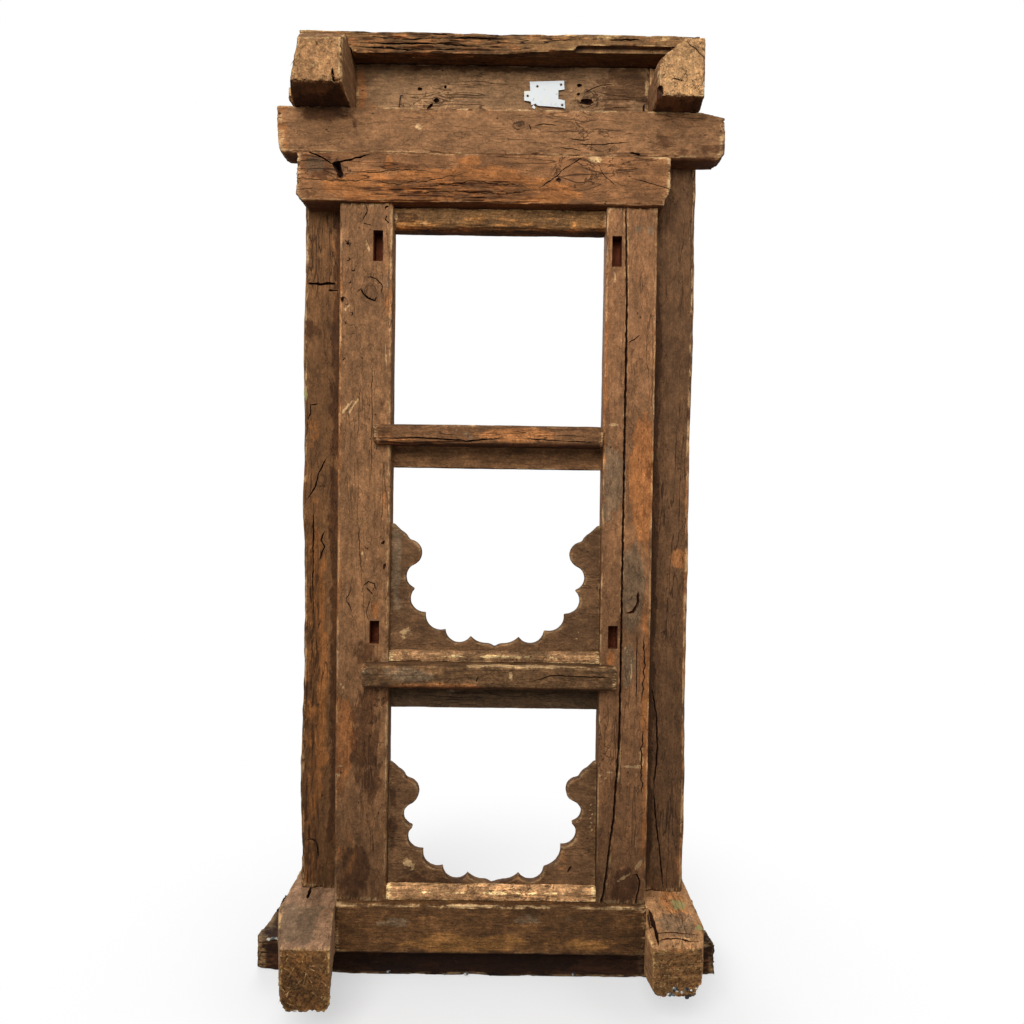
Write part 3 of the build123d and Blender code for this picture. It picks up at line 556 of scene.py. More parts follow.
def crack(points, face, axis="Y", width=2.6, depth=13.0, ends=(0.15, 0.15), wander=1.6):
    """Closed wedge along a jagged line on the room face or the top, to be cut away."""
    out = OUTWARD[axis]
    line = [on_face(point, face, axis) for point in points]
    stations = [line[0]]
    for start, end in zip(line, line[1:]):
        steps = max(1, round((end - start).length / (3.5 * MM)))
        stations += [start.lerp(end, step / steps) for step in range(1, steps + 1)]
    wedge = bmesh.new()
    rings = []
    last = len(stations) - 1
    for i, station in enumerate(stations):
        ahead = (stations[min(i + 1, last)] - stations[max(i - 1, 0)]).normalized()
        aside = ahead.cross(out)
        share = min(1, ends[0] + 5 * i / last, ends[1] + 5 * (last - i) / last)
        share *= 1 + 0.35 * noise.noise(station * 160)
        middle = station + aside * noise.noise(station * 85) * wander * MM
        above, half = middle + out * 4 * MM, aside * width / 2 * share * (depth + 4) / depth * MM
        rings.append([wedge.verts.new(place) for place in
                      (above - half, above + half, middle - out * depth * share * MM)])
    for ring, following in zip(rings, rings[1:]):
        for a, b in ((0, 1), (1, 2), (2, 0)):
            wedge.faces.new((ring[a], ring[b], following[b], following[a]))
    wedge.faces.new(rings[0])
    wedge.faces.new(rings[-1])
    bmesh.ops.recalc_face_normals(wedge, faces=wedge.faces)
    return wedge


left_foot_wood = timber_finish(
    "left_foot_wood", "Y", (164, 125, 93), 3.0, warm=(160, 112, 64), pale=(196, 156, 96),
    end_tone=(100, 65, 30), torn=(-38, 6), contrast=1.3, stripes=0.25)
right_foot_wood = timber_finish(
    "right_foot_wood", "Y", (172, 126, 84), 4.0, warm=(184, 120, 68), pale=(204, 164, 106),
    end_tone=(126, 88, 50), torn=(4, 7), contrast=1.2, stripes=0.4)
foot_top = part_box("left_foot")[1].z / MM
left_slit = crack([(-369, 6), (-367, -18), (-364, -42)], foot_top, "Z", width=6, depth=16)
left_foot = weathered(
    "left_foot", "Y", (2.6, 4.0), left_foot_wood, hew=3.0, groove=4.0, chip=6.0,
    stand_out=-0.5, tools=[left_slit], marks={
        "frayed": [((-340, -215, 110), (70, 30, 60), 1.0)],
        "grey": [((-360, -120, 167), (60, 80, 20), 0.9)]})
flake_crack = crack([(310, -60), (311, -110), (307, -176)], foot_top - 3, "Z", width=5, depth=22)
layer_cracks = [
    crack([(296, y), (340, y + 3), (388, y - 2)], foot_top - 2, "Z", width=3, depth=10)
    for y in (-143, -160, -176)]
right_foot = weathered(
    "right_foot", "Y", (2.6, 4.0), right_foot_wood, hew=2.5, groove=3.5, chip=6.0,
    stand_out=-1.5, tools=[flake_crack, *layer_cracks], marks={
        "frayed": [((340, -170, 110), (60, 30, 60), 0.8)],
        "warm": [((375, -60, 167), (30, 60, 15), 1.0)],
        "lichen": [((371, -45, 167), (16, 22, 10), 1.6), ((393, -122, 167), (8, 10, 10), 1.6)],
        "grey": [((345, -110, 167), (36, 42, 15), 1.0)]})

# Sill beam: squared beam let in between the feet; it carries the inner posts, and its upper
# edge is painted pale, as rubbed wear where people leaned and stepped and as a painted
# highlight where the light catches it. The rear sill repeats it plainly.
sill_wood = timber_finish("sill_wood", "X", (98, 66, 37), 5.0, warm=(140, 96, 50), contrast=1.6)
sill_ends = [corner.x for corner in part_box("sill_beam")]
weathered(
    "sill_beam", "X", (2.6, 7.0), sill_wood, seats=sill_ends, let_in=3.0, hew=2.5,
    marks={
        "grey": [((30, -60, 140), (120, 20, 16), 0.5), ((-180, -60, 130), (60, 20, 14), 0.5)],
        "warm": [((0, -60, 90), (280, 20, 20), 0.7)],
        # The pale band along the upper front edge is rubbed wear and painted highlight.
        "pale": [((0, -60, 165), (300, 8, 5), 1.0)]})
back_wood_x = timber_finish("back_wood_x", "X", (100, 68, 43), 6.0)
outside_slope = 25 * MM


def sloped_outward(mesh):
    """Bring the top down towards the back, as rain and weather have worn it."""
    low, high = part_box("rear_sill")
    places = corners(mesh)
    share_back = (places[:, 1] - low.y) / (high.y - low.y)
    share_up = (places[:, 2] - low.z) / (high.z - low.z)
    places[:, 2] -= outside_slope * share_back * share_up
    mesh.vertices.foreach_set("co", places.ravel())


weathered(
    "rear_sill", "X", (5.0, 10.0), back_wood_x, seats=sill_ends, let_in=3.0, hew=1.5,
    shaped=sloped_outward)

# Outer posts: heavy squared posts with a tenon at each end, standing on the feet. They are
# darker than the casing in front of them, with long drying cracks.
base_top = foot_top * MM
block_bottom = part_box("left_top_block")[0].z
post_ends = (base_top, block_bottom)
tongue_width, tongue_depth = 13, 22


def tongue(side):
    """The narrow tongue of an outer post that backs the joint with the casing."""
    near = side * (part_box("right_outer_post")[0].x / MM + 4)
    far = near - side * (tongue_width + 4)
    low = (min(near, far), 0.5, foot_top - 2)
    return low, (max(near, far), tongue_depth, block_bottom / MM + 2)


left_post_wood = timber_finish(
    "left_post_wood", "Z", (112, 76, 45), 7.0, warm=(156, 98, 50), foot=(167, 700, 0.72),
    knots=[((-352, 0, 1000), 16)])
left_post_cracks = [
    crack([(-390, 1391), (-358, 1390), (-325, 1393)], 0, width=5, depth=7, wander=2.5),
    crack([(-343, 1378), (-322, 1378)], 0, width=3, depth=4),
    crack([(-384, 1114), (-377, 1130), (-376, 1148), (-358, 1150)], 0, width=2.2, depth=8),
    crack([(-342, 1048), (-360, 1008), (-366, 983), (-378, 964), (-384, 955)], 0, width=3),
    crack([(-345, 897), (-353, 877), (-347, 863), (-357, 834)], 0, width=3),
    crack([(-368, 950), (-370, 800), (-368, 690)], 0, width=3, depth=9),
    crack([(-377, 264), (-365, 267), (-356, 260), (-353, 226)], 0, width=3, depth=9)]
weathered(
    "left_outer_post", "Z", (3.2, 8.5), left_post_wood, seats=post_ends,
    filled=[tongue(-1)], hew=3.5, groove=4.5, chip=6.0, sway=22.0, tools=left_post_cracks,
    marks={
        "frayed": [((-377, 0, 590), (24, 60, 380), 1.0), ((-375, 0, 300), (26, 60, 160), 0.9)],
        "warm": [((-375, 0, 640), (32, 60, 360), 1.3)],
        "lichen": [((-387, 0, 1169), (6, 30, 14), 1.5)],
        # The first dark spot, a band along the inner edge, is painted shade beside the casing.
        "dark": [((-322, 0, 900), (16, 20, 900), 1.0), ((-350, 0, 1300), (60, 20, 30), 0.8)]})
right_post_wood = timber_finish("right_post_wood", "Z", (98, 68, 43), 8.0, foot=(167, 700, 0.85))
right_post_cracks = [
    crack([(318, 602), (331, 524), (334, 459), (327, 373)], 0, width=3.4),
    crack([(327, 380), (334, 313), (344, 241), (352, 165)], 0, width=3.4)]
weathered(
    "right_outer_post", "Z", (3.2, 8.5), right_post_wood, seats=post_ends,
    filled=[tongue(1)], hew=3.0, groove=2.5, sway=11.0, tools=right_post_cracks,
    marks={
        "warm": [((370, 0, 850), (18, 30, 20), 1.0), ((387, 0, 800), (6, 60, 600), 0.8)],
        # The dark band along the inner edge is painted shade beside the casing.
        "dark": [((312, 0, 850), (16, 20, 800), 1.3)]})

# Inner posts: the thinner casing round the openings. Each has two slots for bars that are
# lost, and the right one is split from end to end into a post and a strip.
casing_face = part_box("left_inner_post")[0].y / MM
lintel_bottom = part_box("lower_lintel")[0].z
casing_ends = (base_top, lintel_bottom)
openings = {row["name"]: [[value / MM for value in corner] for corner in row["box_m"]]
            for row in frame["record"]["physics"]["openings"]}


def pit(middle, reach, roughness=0.35):
    """Uneven closed ball, to cut a knot hole, a chip or a dent."""
    ball = bmesh.new()
    bmesh.ops.create_icosphere(ball, subdivisions=3, radius=1)
    shift = Vector(middle)
    for vert in ball.verts:
        vert.co *= 1 + roughness * noise.noise(vert.co * 1.7 + shift)
        vert.co = Vector([(c * r + m) * MM for c, r, m in zip(vert.co, reach, middle)])
    return ball


def slots_of(side):
    """The filling and the cutting box of each slot in the casing's left or right side."""
    fillings, cutters = [], []
    for level in ("upper", "lower"):
        (x0, _, z0), (x1, y1, z1) = openings[f"{side}_{level}_slot"]
        fillings.append(((x0 - 2, casing_face, z0 - 2), (x1 + 2, y1 + 2, z1 + 2)))
        cutters.append(box_shell((x0 - 0.5, casing_face - 4, z0 - 0.5), (x1 + 0.5, y1, z1 + 0.5)))
    return fillings, cutters


def streak(points, reach, strength=1.5):
    """A row of small spots along a line of points (x, z) on the casing's room face."""
    line = [Vector((x, casing_face, z)) for x, z in points]
    row = []
    for start, end in zip(line, line[1:]):
        steps = max(1, round((end - start).length / reach))
        row += [(tuple(start.lerp(end, step / steps)), (reach, 12, reach), strength)
                for step in range(steps + 1)]
    return row


left_fillings, left_slots = slots_of("left")
right_fillings, right_slots = slots_of("right")
main_knot = (-248, casing_face, 1362)
left_casing_wood = timber_finish(
    "left_casing_wood", "Z", (127, 89, 57), 9.0, warm=(158, 98, 52), contrast=1.25, stripes=0.35,
    foot=(167, 800, 0.6), knots=[
        (main_knot, 17), ((-294, casing_face, 1454), 8), ((-300, casing_face, 1343), 7),
        ((-240, casing_face, 793), 10), ((-285, casing_face, 1290), 9)])
gnarls = [
    (-298, 1458), (-302, 1273), (-296, 1302), (-299, 1234), (-282, 1404), (-221, 1526),
    (-291, 1425), (-285, 1322), (-250, 864), (-287, 1381)]


def gnarl(x, z):
    """A short bent crack beside a knot, turned one way or another."""
    turn = 6 * noise.noise(Vector((x, z, 0)) * 0.37)
    start = (x - 6 * math.cos(turn), z - 6 * math.sin(turn))
    end = (x - 5 * math.sin(turn), z + 5 * math.cos(turn))
    return crack([start, (x, z), end], casing_face, width=2.6 + turn / 3, depth=5, wander=4)


left_casing_cracks = [gnarl(x, z) for x, z in gnarls] + [
    crack(
        [(-276, 1361), (-268, 1371), (-264, 1360), (-253, 1351), (-241, 1348), (-235, 1357)],
        casing_face, width=3.4, depth=7, wander=3),
    crack(
        [(-259, 1388), (-249, 1392), (-239, 1390), (-228, 1377), (-226, 1357)], casing_face,
        width=2.0, depth=7, wander=3),
    crack([(-260, 1532), (-257, 1517), (-267, 1499)], casing_face, width=1.8, depth=6),
    crack([(-265, 1495), (-247, 1491)], casing_face, width=1.8, depth=6),
    crack([(-219, 1512), (-222, 1503), (-213, 1495)], casing_face, width=2.4, depth=6),
    crack([(-269, 914), (-266, 875), (-263, 816)], casing_face, width=1.4, depth=8),
    crack([(-282, 790), (-290, 762), (-279, 738)], casing_face, width=1.6, depth=6, wander=3),
    crack([(-245, 766), (-250, 740), (-247, 721)], casing_face, width=1.6, depth=8, wander=3),
    crack([(-258, 791), (-248, 800), (-236, 796), (-233, 781)], casing_face, width=2.6, depth=7),
    crack([(-252, 786), (-246, 784), (-240, 774)], casing_face, width=2.4, depth=6, wander=3),
    crack([(-245, 1239), (-244, 1130), (-244, 1018)], casing_face, width=1.2),
    pit((-304, casing_face, 1348), (4, 6, 5), 0.9),
    pit((-294, casing_face, 1456), (3, 5, 3), 0.9),
    pit((-220, casing_face, 876), (4, 4, 4), 0.9),
    pit((-217, casing_face, 830), (3, 4, 5), 0.9)]
weathered(
    "left_inner_post", "Z", (2.0, 6.0), left_casing_wood, seats=casing_ends,
    filled=left_fillings, hew=1.6, groove=1.6, chip=3.5, mortises=left_slots,
    tools=left_casing_cracks, marks={
        "warm": [
            ((-290, casing_face, 500), (24, 20, 130), 1.0),
            ((-308, casing_face, 900), (5, 20, 700), 0.9),
            ((-220, casing_face, 950), (8, 20, 110), 0.8),
            ((-233, casing_face, 745), (8, 20, 22), 1.2)],
        "dark": [
            ((-245, casing_face, 520), (34, 20, 130), 1.0),
            ((-258, casing_face, 660), (24, 20, 40), 0.9),
            ((-262, casing_face, 230), (50, 20, 60), 0.8)],
        "pale": [
            *streak([(-300, 1131), (-281, 1153)], 2.0), *streak([(-288, 1131), (-271, 1156)], 2.0),
            *streak([(-263, 853), (-256, 858)], 1.5), *streak([(-261, 839), (-252, 842)], 1.5),
            *streak([(-302, 599), (-295, 590)], 2.0), *streak([(-259, 1464), (-252, 1440)], 1.5),
            *streak([(-308, 437), (-290, 432)], 2.0), *streak([(-309, 417), (-290, 413)], 2.0),
            *streak([(-219, 1262), (-217, 1206)], 1.6), *streak([(-298, 1328), (-288, 1340)], 1.5)],
        "frayed": [((-290, casing_face, 255), (24, 20, 50), 0.6)]})
right_casing_wood = timber_finish(
    "right_casing_wood", "Z", (134, 93, 60), 10.0, warm=(168, 104, 54), contrast=1.2, stripes=0.4,
    foot=(167, 950, 0.52), knots=[((272, casing_face, 765), 15), ((288, casing_face, 205), 9)])
split = crack(
    [(244, 1528), (249, 1345), (249, 900), (249, 497), (240, 339), (223, 190), (218, 170)],
    casing_face, width=4.5, depth=20, ends=(0.6, 1), wander=1.2)
right_casing_cracks = [
    split,
    crack(
        [(254, 1272), (264, 1279), (276, 1288)], casing_face, width=2.2, ends=(0.6, 0.1), wander=3),
    crack([(293, 705), (296, 640), (291, 560)], casing_face, width=2.4, depth=5, wander=4),
    crack([(296, 520), (292, 450), (297, 380)], casing_face, width=2.4, depth=5, wander=4),
    crack([(279, 790), (281, 768), (272, 747), (255, 744)], casing_face, width=5, depth=8),
    crack([(279, 712), (281, 613), (280, 564)], casing_face, width=1.8),
    crack([(274, 225), (288, 228), (294, 214), (287, 168)], casing_face, width=3, ends=(0.1, 1))]
weathered(
    "right_inner_post", "Z", (2.0, 6.0), right_casing_wood, seats=casing_ends,
    hew=1.6, groove=1.4, chip=3.0, tools=right_casing_cracks,
    marks={
        "warm": [
            ((285, casing_face, 1010), (26, 20, 140), 1.2),
            ((300, casing_face, 560), (8, 20, 320), 0.9),
            ((295, casing_face, 800), (9, 20, 200), 0.9)],
        "grey": [
            ((268, casing_face, 800), (24, 20, 110), 1.2),
            ((262, casing_face, 640), (14, 20, 60), 1.0),
            ((268, casing_face, 1492), (8, 20, 8), 1.0),
            ((293, casing_face, 1492), (8, 20, 7), 1.0)],
        "pale": [
            ((292, casing_face, 468), (5, 20, 24), 0.9),
            *streak([(252, 214), (272, 226), (292, 247), (302, 264)], 4.0, 1.1),
            *streak([(251, 438), (266, 440), (291, 441)], 2.2),
            *streak([(293, 484), (296, 448)], 2.2),
            *streak([(256, 676), (268, 660), (271, 630), (269, 613)], 1.6)],
        "dark": [((265, casing_face, 200), (30, 20, 40), 0.9)]})
weathered(
    "right_post_strip", "Z", (2.0, 6.0), right_casing_wood, seats=casing_ends,
    filled=right_fillings, hew=1.4, groove=1.4, chip=3.0, mortises=right_slots, tools=[split],
    marks={
        "warm": [
            ((230, casing_face, 655), (10, 20, 18), 1.2),
            ((209, casing_face, 1300), (4, 20, 250), 0.9)],
        "grey": [((228, casing_face, 1000), (22, 20, 90), 0.9)],
        "pale": [
            *streak([(211, 424), (234, 430), (244, 436)], 3.0, 1.2),
            *streak([(214, 412), (228, 420)], 1.8), *streak([(210, 1111), (241, 1115)], 1.6),
            *streak([(223, 1420), (226, 1385)], 1.6)]})

# Rails: boards tenoned between the inner posts behind the bars. The head rail is rounded
# below and gnarled at its left end, where a strip of fresh wood shows.
rail_ends = [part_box("upper_bead")[i].x for i in (0, 1)]
head_wood = timber_finish("head_wood", "X", (124, 88, 52), 11.0, warm=(168, 112, 58), contrast=2.0)
rail_wood = timber_finish("rail_wood", "X", (124, 86, 54), 12.0, contrast=1.3)
low_rail_wood = timber_finish("low_rail_wood", "X", (80, 59, 39), 13.0)
weathered(
    "head_rail", "X", (1.8, 5.0), head_wood, seats=rail_ends, hew=2.0, groove=3.0,
    chip=3.0, marks={
        "frayed": [((0, -32, 1500), (220, 20, 20), 0.55)],
        "warm": [((-168, -32, 1499), (34, 20, 6), 2.0)],
        "dark": [((-190, -32, 1512), (22, 20, 8), 1.5)],
        "pale": [((-205, -32, 1515), (5, 20, 10), 1.6), ((-150, -32, 1502), (12, 20, 2), 1.6)]})
weathered(
    "upper_rail", "X", (2.0, 6.0), rail_wood, seats=rail_ends, hew=1.2, groove=1.2,
    chip=2.0)
weathered(
    "lower_rail", "X", (2.0, 6.0), low_rail_wood, seats=rail_ends, hew=1.2,
    groove=1.2, chip=2.0)

# Bars: rounded bars that lap the posts' faces. Hands have rubbed them along their upper
# edges, and their ends are split and wormy.
upper_bar_wood = timber_finish("upper_bar_wood", "X", (106, 72, 44), 14.0, contrast=1.4)
upper_bar_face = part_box("upper_bar")[0].y / MM
weathered(
    "upper_bar", "X", (1.6, 4.5), upper_bar_wood, hew=1.8, groove=2.5, chip=3.5,
    tools=[
        crack([(-225, 1078), (-150, 1080), (-60, 1076), (20, 1082)], upper_bar_face, width=2.6),
        crack([(40, 1082), (110, 1079), (200, 1076)], upper_bar_face, width=1.8)],
    marks={
        "frayed": [((-225, -70, 1085), (26, 20, 24), 1.0), ((-130, -70, 1074), (110, 20, 8), 0.9)],
        "warm": [((30, -70, 1088), (90, 20, 12), 1.2)],
        "pale": [((-236, -70, 1095), (10, 20, 16), 1.0), ((0, -70, 1105), (200, 20, 3), 0.6)]})
lower_bar_wood = timber_finish("lower_bar_wood", "X", (104, 74, 46), 15.0, contrast=1.8)
lower_bar_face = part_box("lower_bar")[0].y / MM
weathered(
    "lower_bar", "X", (1.6, 4.5), lower_bar_wood, hew=1.8, groove=2.2, chip=3.5,
    tools=[
        crack([(70, 613), (113, 626), (180, 625), (236, 623)], lower_bar_face, width=2.4),
        crack([(-32, 610), (-31, 618), (-28, 624)], lower_bar_face, width=2)],
    marks={
        "warm": [((-120, -72, 602), (90, 20, 8), 1.0), ((-258, -72, 642), (8, 20, 8), 1.2)],
        "pale": [((60, -70, 642), (140, 20, 4), 1.0), ((33, -75, 625), (5, 9, 12), 1.2)],
        "grey": [((-150, -75, 625), (80, 20, 15), 0.9)]})

# Beads: quarter-round strips of softwood nailed along the feet of the carved boards. They
# cover the joint with the rail below, and their rounded edges are rubbed almost white.
bead_wood = timber_finish(
    "bead_wood", "X", (150, 111, 74), 16.0, warm=(180, 120, 70), pale=(222, 194, 136), contrast=2.2)
for node, rise in (("upper_bead", 12), ("lower_bead", 16)):
    low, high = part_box(node)
    weathered(
        node, "X", (1.6, 5.0), bead_wood, seats=rail_ends, let_in=2.0, hew=1.2,
        groove=1.6, chip=2.0, marks={"pale": [((0, -43, low.z / MM + rise), (190, 12, 4), 0.9)]})

# Carved boards: thin boards let in between the casing posts. Their outline of small hanging
# arches was sawn and pared with a chisel, and they are darker towards the corners.
carved_wood = timber_finish(
    "carved_wood", "X", (106, 75, 48), 17.0, contrast=1.2, stripes=0.15, edge_rub_and_highlight=0.25)
weathered(
    "upper_cusped_panel", "X", (1.7, 3.0), carved_wood, seats=rail_ends, hew=0.7,
    groove=0.5, chip=1.0, marks={
        "grey": [((-196, -30, 820), (14, 20, 70), 1.2)],
        "pale": [((-172, -30, 702), (20, 20, 26), 0.8), ((160, -30, 700), (16, 20, 18), 0.8)],
        "dark": [((0, -30, 656), (200, 20, 10), 0.8)]})
weathered(
    "lower_cusped_panel", "X", (1.7, 3.0), carved_wood, seats=rail_ends, hew=0.7,
    groove=0.5, chip=1.0,
    tools=[crack([(151, 219), (156, 226), (161, 233)], -30, width=4, depth=8)],
    marks={
        "pale": [((-165, -30, 225), (26, 20, 22), 0.8)] + [
            ((x, -30, z), (1.9, 9, 1.9), 2.2)
            for x, z in (
                (197, 357), (195, 346), (199, 338), (196, 330), (198, 321), (196, 313),
                (199, 306))],
        "dark": [((0, -30, 200), (220, 20, 60), 0.5), ((-198, -30, 330), (12, 20, 100), 0.9)]})

# Lintels: two beams laid on the posts, one over the other. A knot has fallen out of the
# lower one, and cracks fork from its hole; its lower edge has torn off in long fibres.
lower_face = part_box("lower_lintel")[0].y / MM
upper_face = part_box("upper_lintel")[0].y / MM
lower_lintel_wood = timber_finish(
    "lower_lintel_wood", "X", (126, 85, 52), 18.0, warm=(164, 102, 52), contrast=1.2,
    knots=[((-310, lower_face, 1595), 16), ((150, lower_face, 1590), 30)])
fork = (-324, 1604)
lower_lintel_tools = [
    crack([(-384, 1633), (-351, 1619), (-328, 1607), fork], lower_face, width=3.4, ends=(0.4, 1)),
    crack([fork, (-299, 1609), (-270, 1617), (-250, 1624)], lower_face, width=3.6, ends=(1, 0.1)),
    crack(
        [(-318, 1606), (-312, 1596), (-308, 1586), (-310, 1578)], lower_face, width=14, depth=24,
        ends=(0.8, 0.3)),
    crack(
        [(-301, 1590), (-241, 1588), (-184, 1595), (-132, 1593)], lower_face, width=1.6, wander=3),
    crack(
        [
            (-390, 1576), (-321, 1573), (-241, 1574), (-198, 1566), (-154, 1572), (-97, 1583),
            (-54, 1594)], lower_face, width=1.3, depth=8, ends=(1, 0.1), wander=4),
    crack([(70, 1560), (106, 1585), (123, 1602), (156, 1622), (168, 1628)], lower_face, width=1.8),
    crack([(190, 1606), (196, 1592), (222, 1570)], lower_face, width=1.5),
    crack([(253, 1585), (290, 1575), (332, 1564)], lower_face, width=1.5, ends=(0.1, 0.8)),
    pit((112, lower_face, 1580), (5, 4, 4)),
    crack([(-200, 1548), (-100, 1556), (0, 1552), (80, 1560)], lower_face, width=1.6, wander=3.5),
    crack([(-150, 1562), (-60, 1574), (40, 1570), (66, 1558)], lower_face, width=1.5, wander=3.5)]
weathered(
    "lower_lintel", "X", (1.9, 5.0), lower_lintel_wood,
    filled=[((-376, lower_face, 1562), (-232, lower_face + 24, 1625))], hew=2.0, groove=4.5,
    chip=5.0, tools=lower_lintel_tools, marks={
        "frayed": [((-90, lower_face, 1556), (200, 20, 26), 1.1)],
        "warm": [
            ((-90, lower_face, 1560), (240, 20, 40), 1.2),
            ((-215, lower_face, 1608), (8, 12, 14), 1.2),
            ((-65, lower_face, 1612), (26, 12, 12), 1.0)],
        "pale": [
            ((182, lower_face, 1622), (16, 10, 8), 1.2),
            ((300, lower_face, 1626), (18, 10, 5), 1.0)],
        "grey": [((-360, lower_face, 1605), (26, 12, 18), 1.0)],
        "dark": [
            ((-200, lower_face, 1600), (90, 12, 8), 0.8),
            ((-350, lower_face, 1590), (50, 12, 40), 0.8)]})
upper_lintel_wood = timber_finish(
    "upper_lintel_wood", "X", (132, 93, 60), 19.0, contrast=1.1, stripes=0.5,
    knots=[
        ((34, upper_face, 1690), 10), ((160, upper_face, 1702), 10), ((190, upper_face, 1656), 16)])
upper_lintel_tools = [
    crack([(63, 1687), (83, 1691), (111, 1689)], upper_face, width=1.8),
    crack([(131, 1664), (157, 1662), (174, 1663)], upper_face, width=1.8, depth=6),
    crack([(134, 1653), (197, 1654), (254, 1660)], upper_face, width=1.8, depth=6),
    crack([(112, 1647), (157, 1642)], upper_face, width=1.6, depth=6),
    crack([(390, 1676), (401, 1675)], upper_face, width=2, depth=6),
    crack([(52, 1691), (59, 1678)], upper_face, width=2, depth=6),
    crack([(248, 1639), (260, 1637), (271, 1635)], upper_face, width=4, depth=8)]
weathered(
    "upper_lintel", "X", (2.2, 6.0), upper_lintel_wood, hew=2.0, groove=1.8, chip=5.0,
    tools=upper_lintel_tools, marks={
        "warm": [((-425, upper_face, 1690), (20, 20, 50), 0.9)],
        "pale": [
            ((-160, upper_face, 1684), (9, 20, 14), 1.0),
            ((0, upper_face, 1720), (420, 12, 3), 0.7)],
        "dark": [
            ((-282, upper_face, 1684), (3, 20, 22), 1.0),
            ((-350, upper_face, 1705), (60, 20, 18), 0.7),
            ((36, upper_face, 1690), (24, 20, 26), 0.4),
            ((400, upper_face, 1680), (120, 20, 60), 0.7)]})
weathered("rear_lintel", "X", (5.0, 10.0), back_wood_x)

# Top blocks: short ties that run over the upper lintel and lock the head to the outer posts.
# Their ends were cut rough across the grain, and light and rain have worn them pale.
left_block_wood = timber_finish(
    "left_block_wood", "Y", (130, 94, 62), 20.0, pale=(212, 172, 118), end_tone=(158, 115, 74),
    contrast=1.2, knots=[((-348, -128, 1784), 14)])
left_top_block = weathered(
    "left_top_block", "Y", (2.2, 4.0), left_block_wood, hew=2.5, groove=2.6, chip=5.0,
    stand_out=1.0,
    tools=[crack([(-306, 1742), (-305, 1725), (-305, 1716)], -129, width=3.4, ends=(0.1, 1))],
    marks={
        "grey": [((-302, -125, 1767), (10, 20, 26), 1.0)],
        # The dark band at the block's bottom is painted shade under it.
        "dark": [((-340, -60, 1721), (80, 60, 6), 1.0)]})
right_block_wood = timber_finish(
    "right_block_wood", "Y", (146, 106, 72), 21.0, pale=(218, 180, 130), end_tone=(184, 139, 92))
right_block_tools = [
    crack([(343, 1820), (360, 1806), (378, 1789)], -99, width=0.8, depth=5, ends=(0.1, 1)),
    crack([(319, 1751), (338, 1747)], -99, width=1.2, depth=6),
    pit((293, -98, 1728), (9, 10, 12))]
right_top_block = weathered(
    "right_top_block", "Y", (2.2, 4.0), right_block_wood, hew=2.0, groove=1.6, chip=4.0,
    # The dark band at the block's bottom is painted shade under it.
    stand_out=1.0, tools=right_block_tools, marks={"dark": [((330, -50, 1721), (60, 60, 6), 1.0)]})

# Frieze board and planks: a board on edge behind the upper lintel, and two planks laid flat
# over the blocks. The front plank's edge is weathered into long ridges.
frieze_wood = timber_finish(
    "frieze_wood", "X", (134, 100, 68), 22.0, contrast=1.2,
    knots=[((168, 0, 1765), 18), ((-131, 0, 1757), 14), ((152, 0, 1782), 10)])
frieze_tools = [
    pit((-164, 0, 1779), (4.5, 9, 3.5)),
    pit((-113, 0, 1784), (3, 8, 3)),
    pit((-131, 0, 1757), (6, 9, 5)),
    crack([(-122, 1815), (-116, 1815)], 0, width=3),
    pit((154, 0, 1791), (5, 8, 3.5)),
    pit((152, 0, 1774), (3.5, 8, 3)),
    pit((169, 0, 1759), (13, 10, 6)),
    crack([(-149, 1738), (-137, 1751)], 0, width=5, depth=8),
    crack([(159, 1773), (177, 1785), (200, 1793), (224, 1794)], 0, width=2),
    crack([(283, 1757), (283, 1738)], 0, width=3, depth=8)]
weathered(
    "frieze_board", "X", (2.4, 6.0), frieze_wood, hew=1.4, groove=1.2, chip=2.0,
    tools=frieze_tools, marks={
        "warm": [((-282, 0, 1775), (9, 20, 36), 1.0)],
        "grey": [((-200, 0, 1775), (80, 20, 40), 0.3)],
        # The first dark spot, a band along the top, is painted shadow under the front plank.
        "dark": [((0, 0, 1825), (300, 20, 14), 0.8), ((235, 0, 1785), (80, 20, 60), 1.0)]})
plank_wood = timber_finish(
    "plank_wood", "X", (126, 91, 56), 23.0, pale=(206, 168, 110), contrast=1.3, stripes=1.1)
plank_tools = [
    crack([(99, 1847), (118, 1848), (138, 1848)], -55, width=3, depth=10),
    crack([(201, 1849), (235, 1850), (268, 1850)], -55, width=4, depth=12),
    crack([(-285, 1838), (-200, 1836), (-110, 1838), (-20, 1834)], -55, width=4),
    crack([(-270, 1849), (-180, 1846), (-60, 1850), (30, 1846)], -55, width=3),
    crack([(-288, 1829), (-180, 1826), (-60, 1829)], -55, width=4)]
weathered(
    "top_plank", "X", (2.0, 6.0), plank_wood, hew=2.5, groove=5.0, chip=5.0,
    stand_out=-1.5, tools=plank_tools, marks={
        "frayed": [((-150, -55, 1840), (190, 25, 30), 1.0), ((100, -55, 1852), (110, 20, 6), 0.6)],
        "pale": [((180, -55, 1853), (180, 20, 6), 0.8)],
        # The dark band along the lower edge is painted shade under the plank's lip.
        "dark": [((-150, -50, 1822), (250, 20, 6), 1.0)]})
back_plank_wood = timber_finish("back_plank_wood", "X", (112, 80, 50), 24.0)
weathered(
    "rear_top_plank", "X", (4.0, 9.0), back_plank_wood, stand_out=-1.5,
    marks={"warm": [((-470, 150, 1850), (30, 60, 30), 1.2)]})

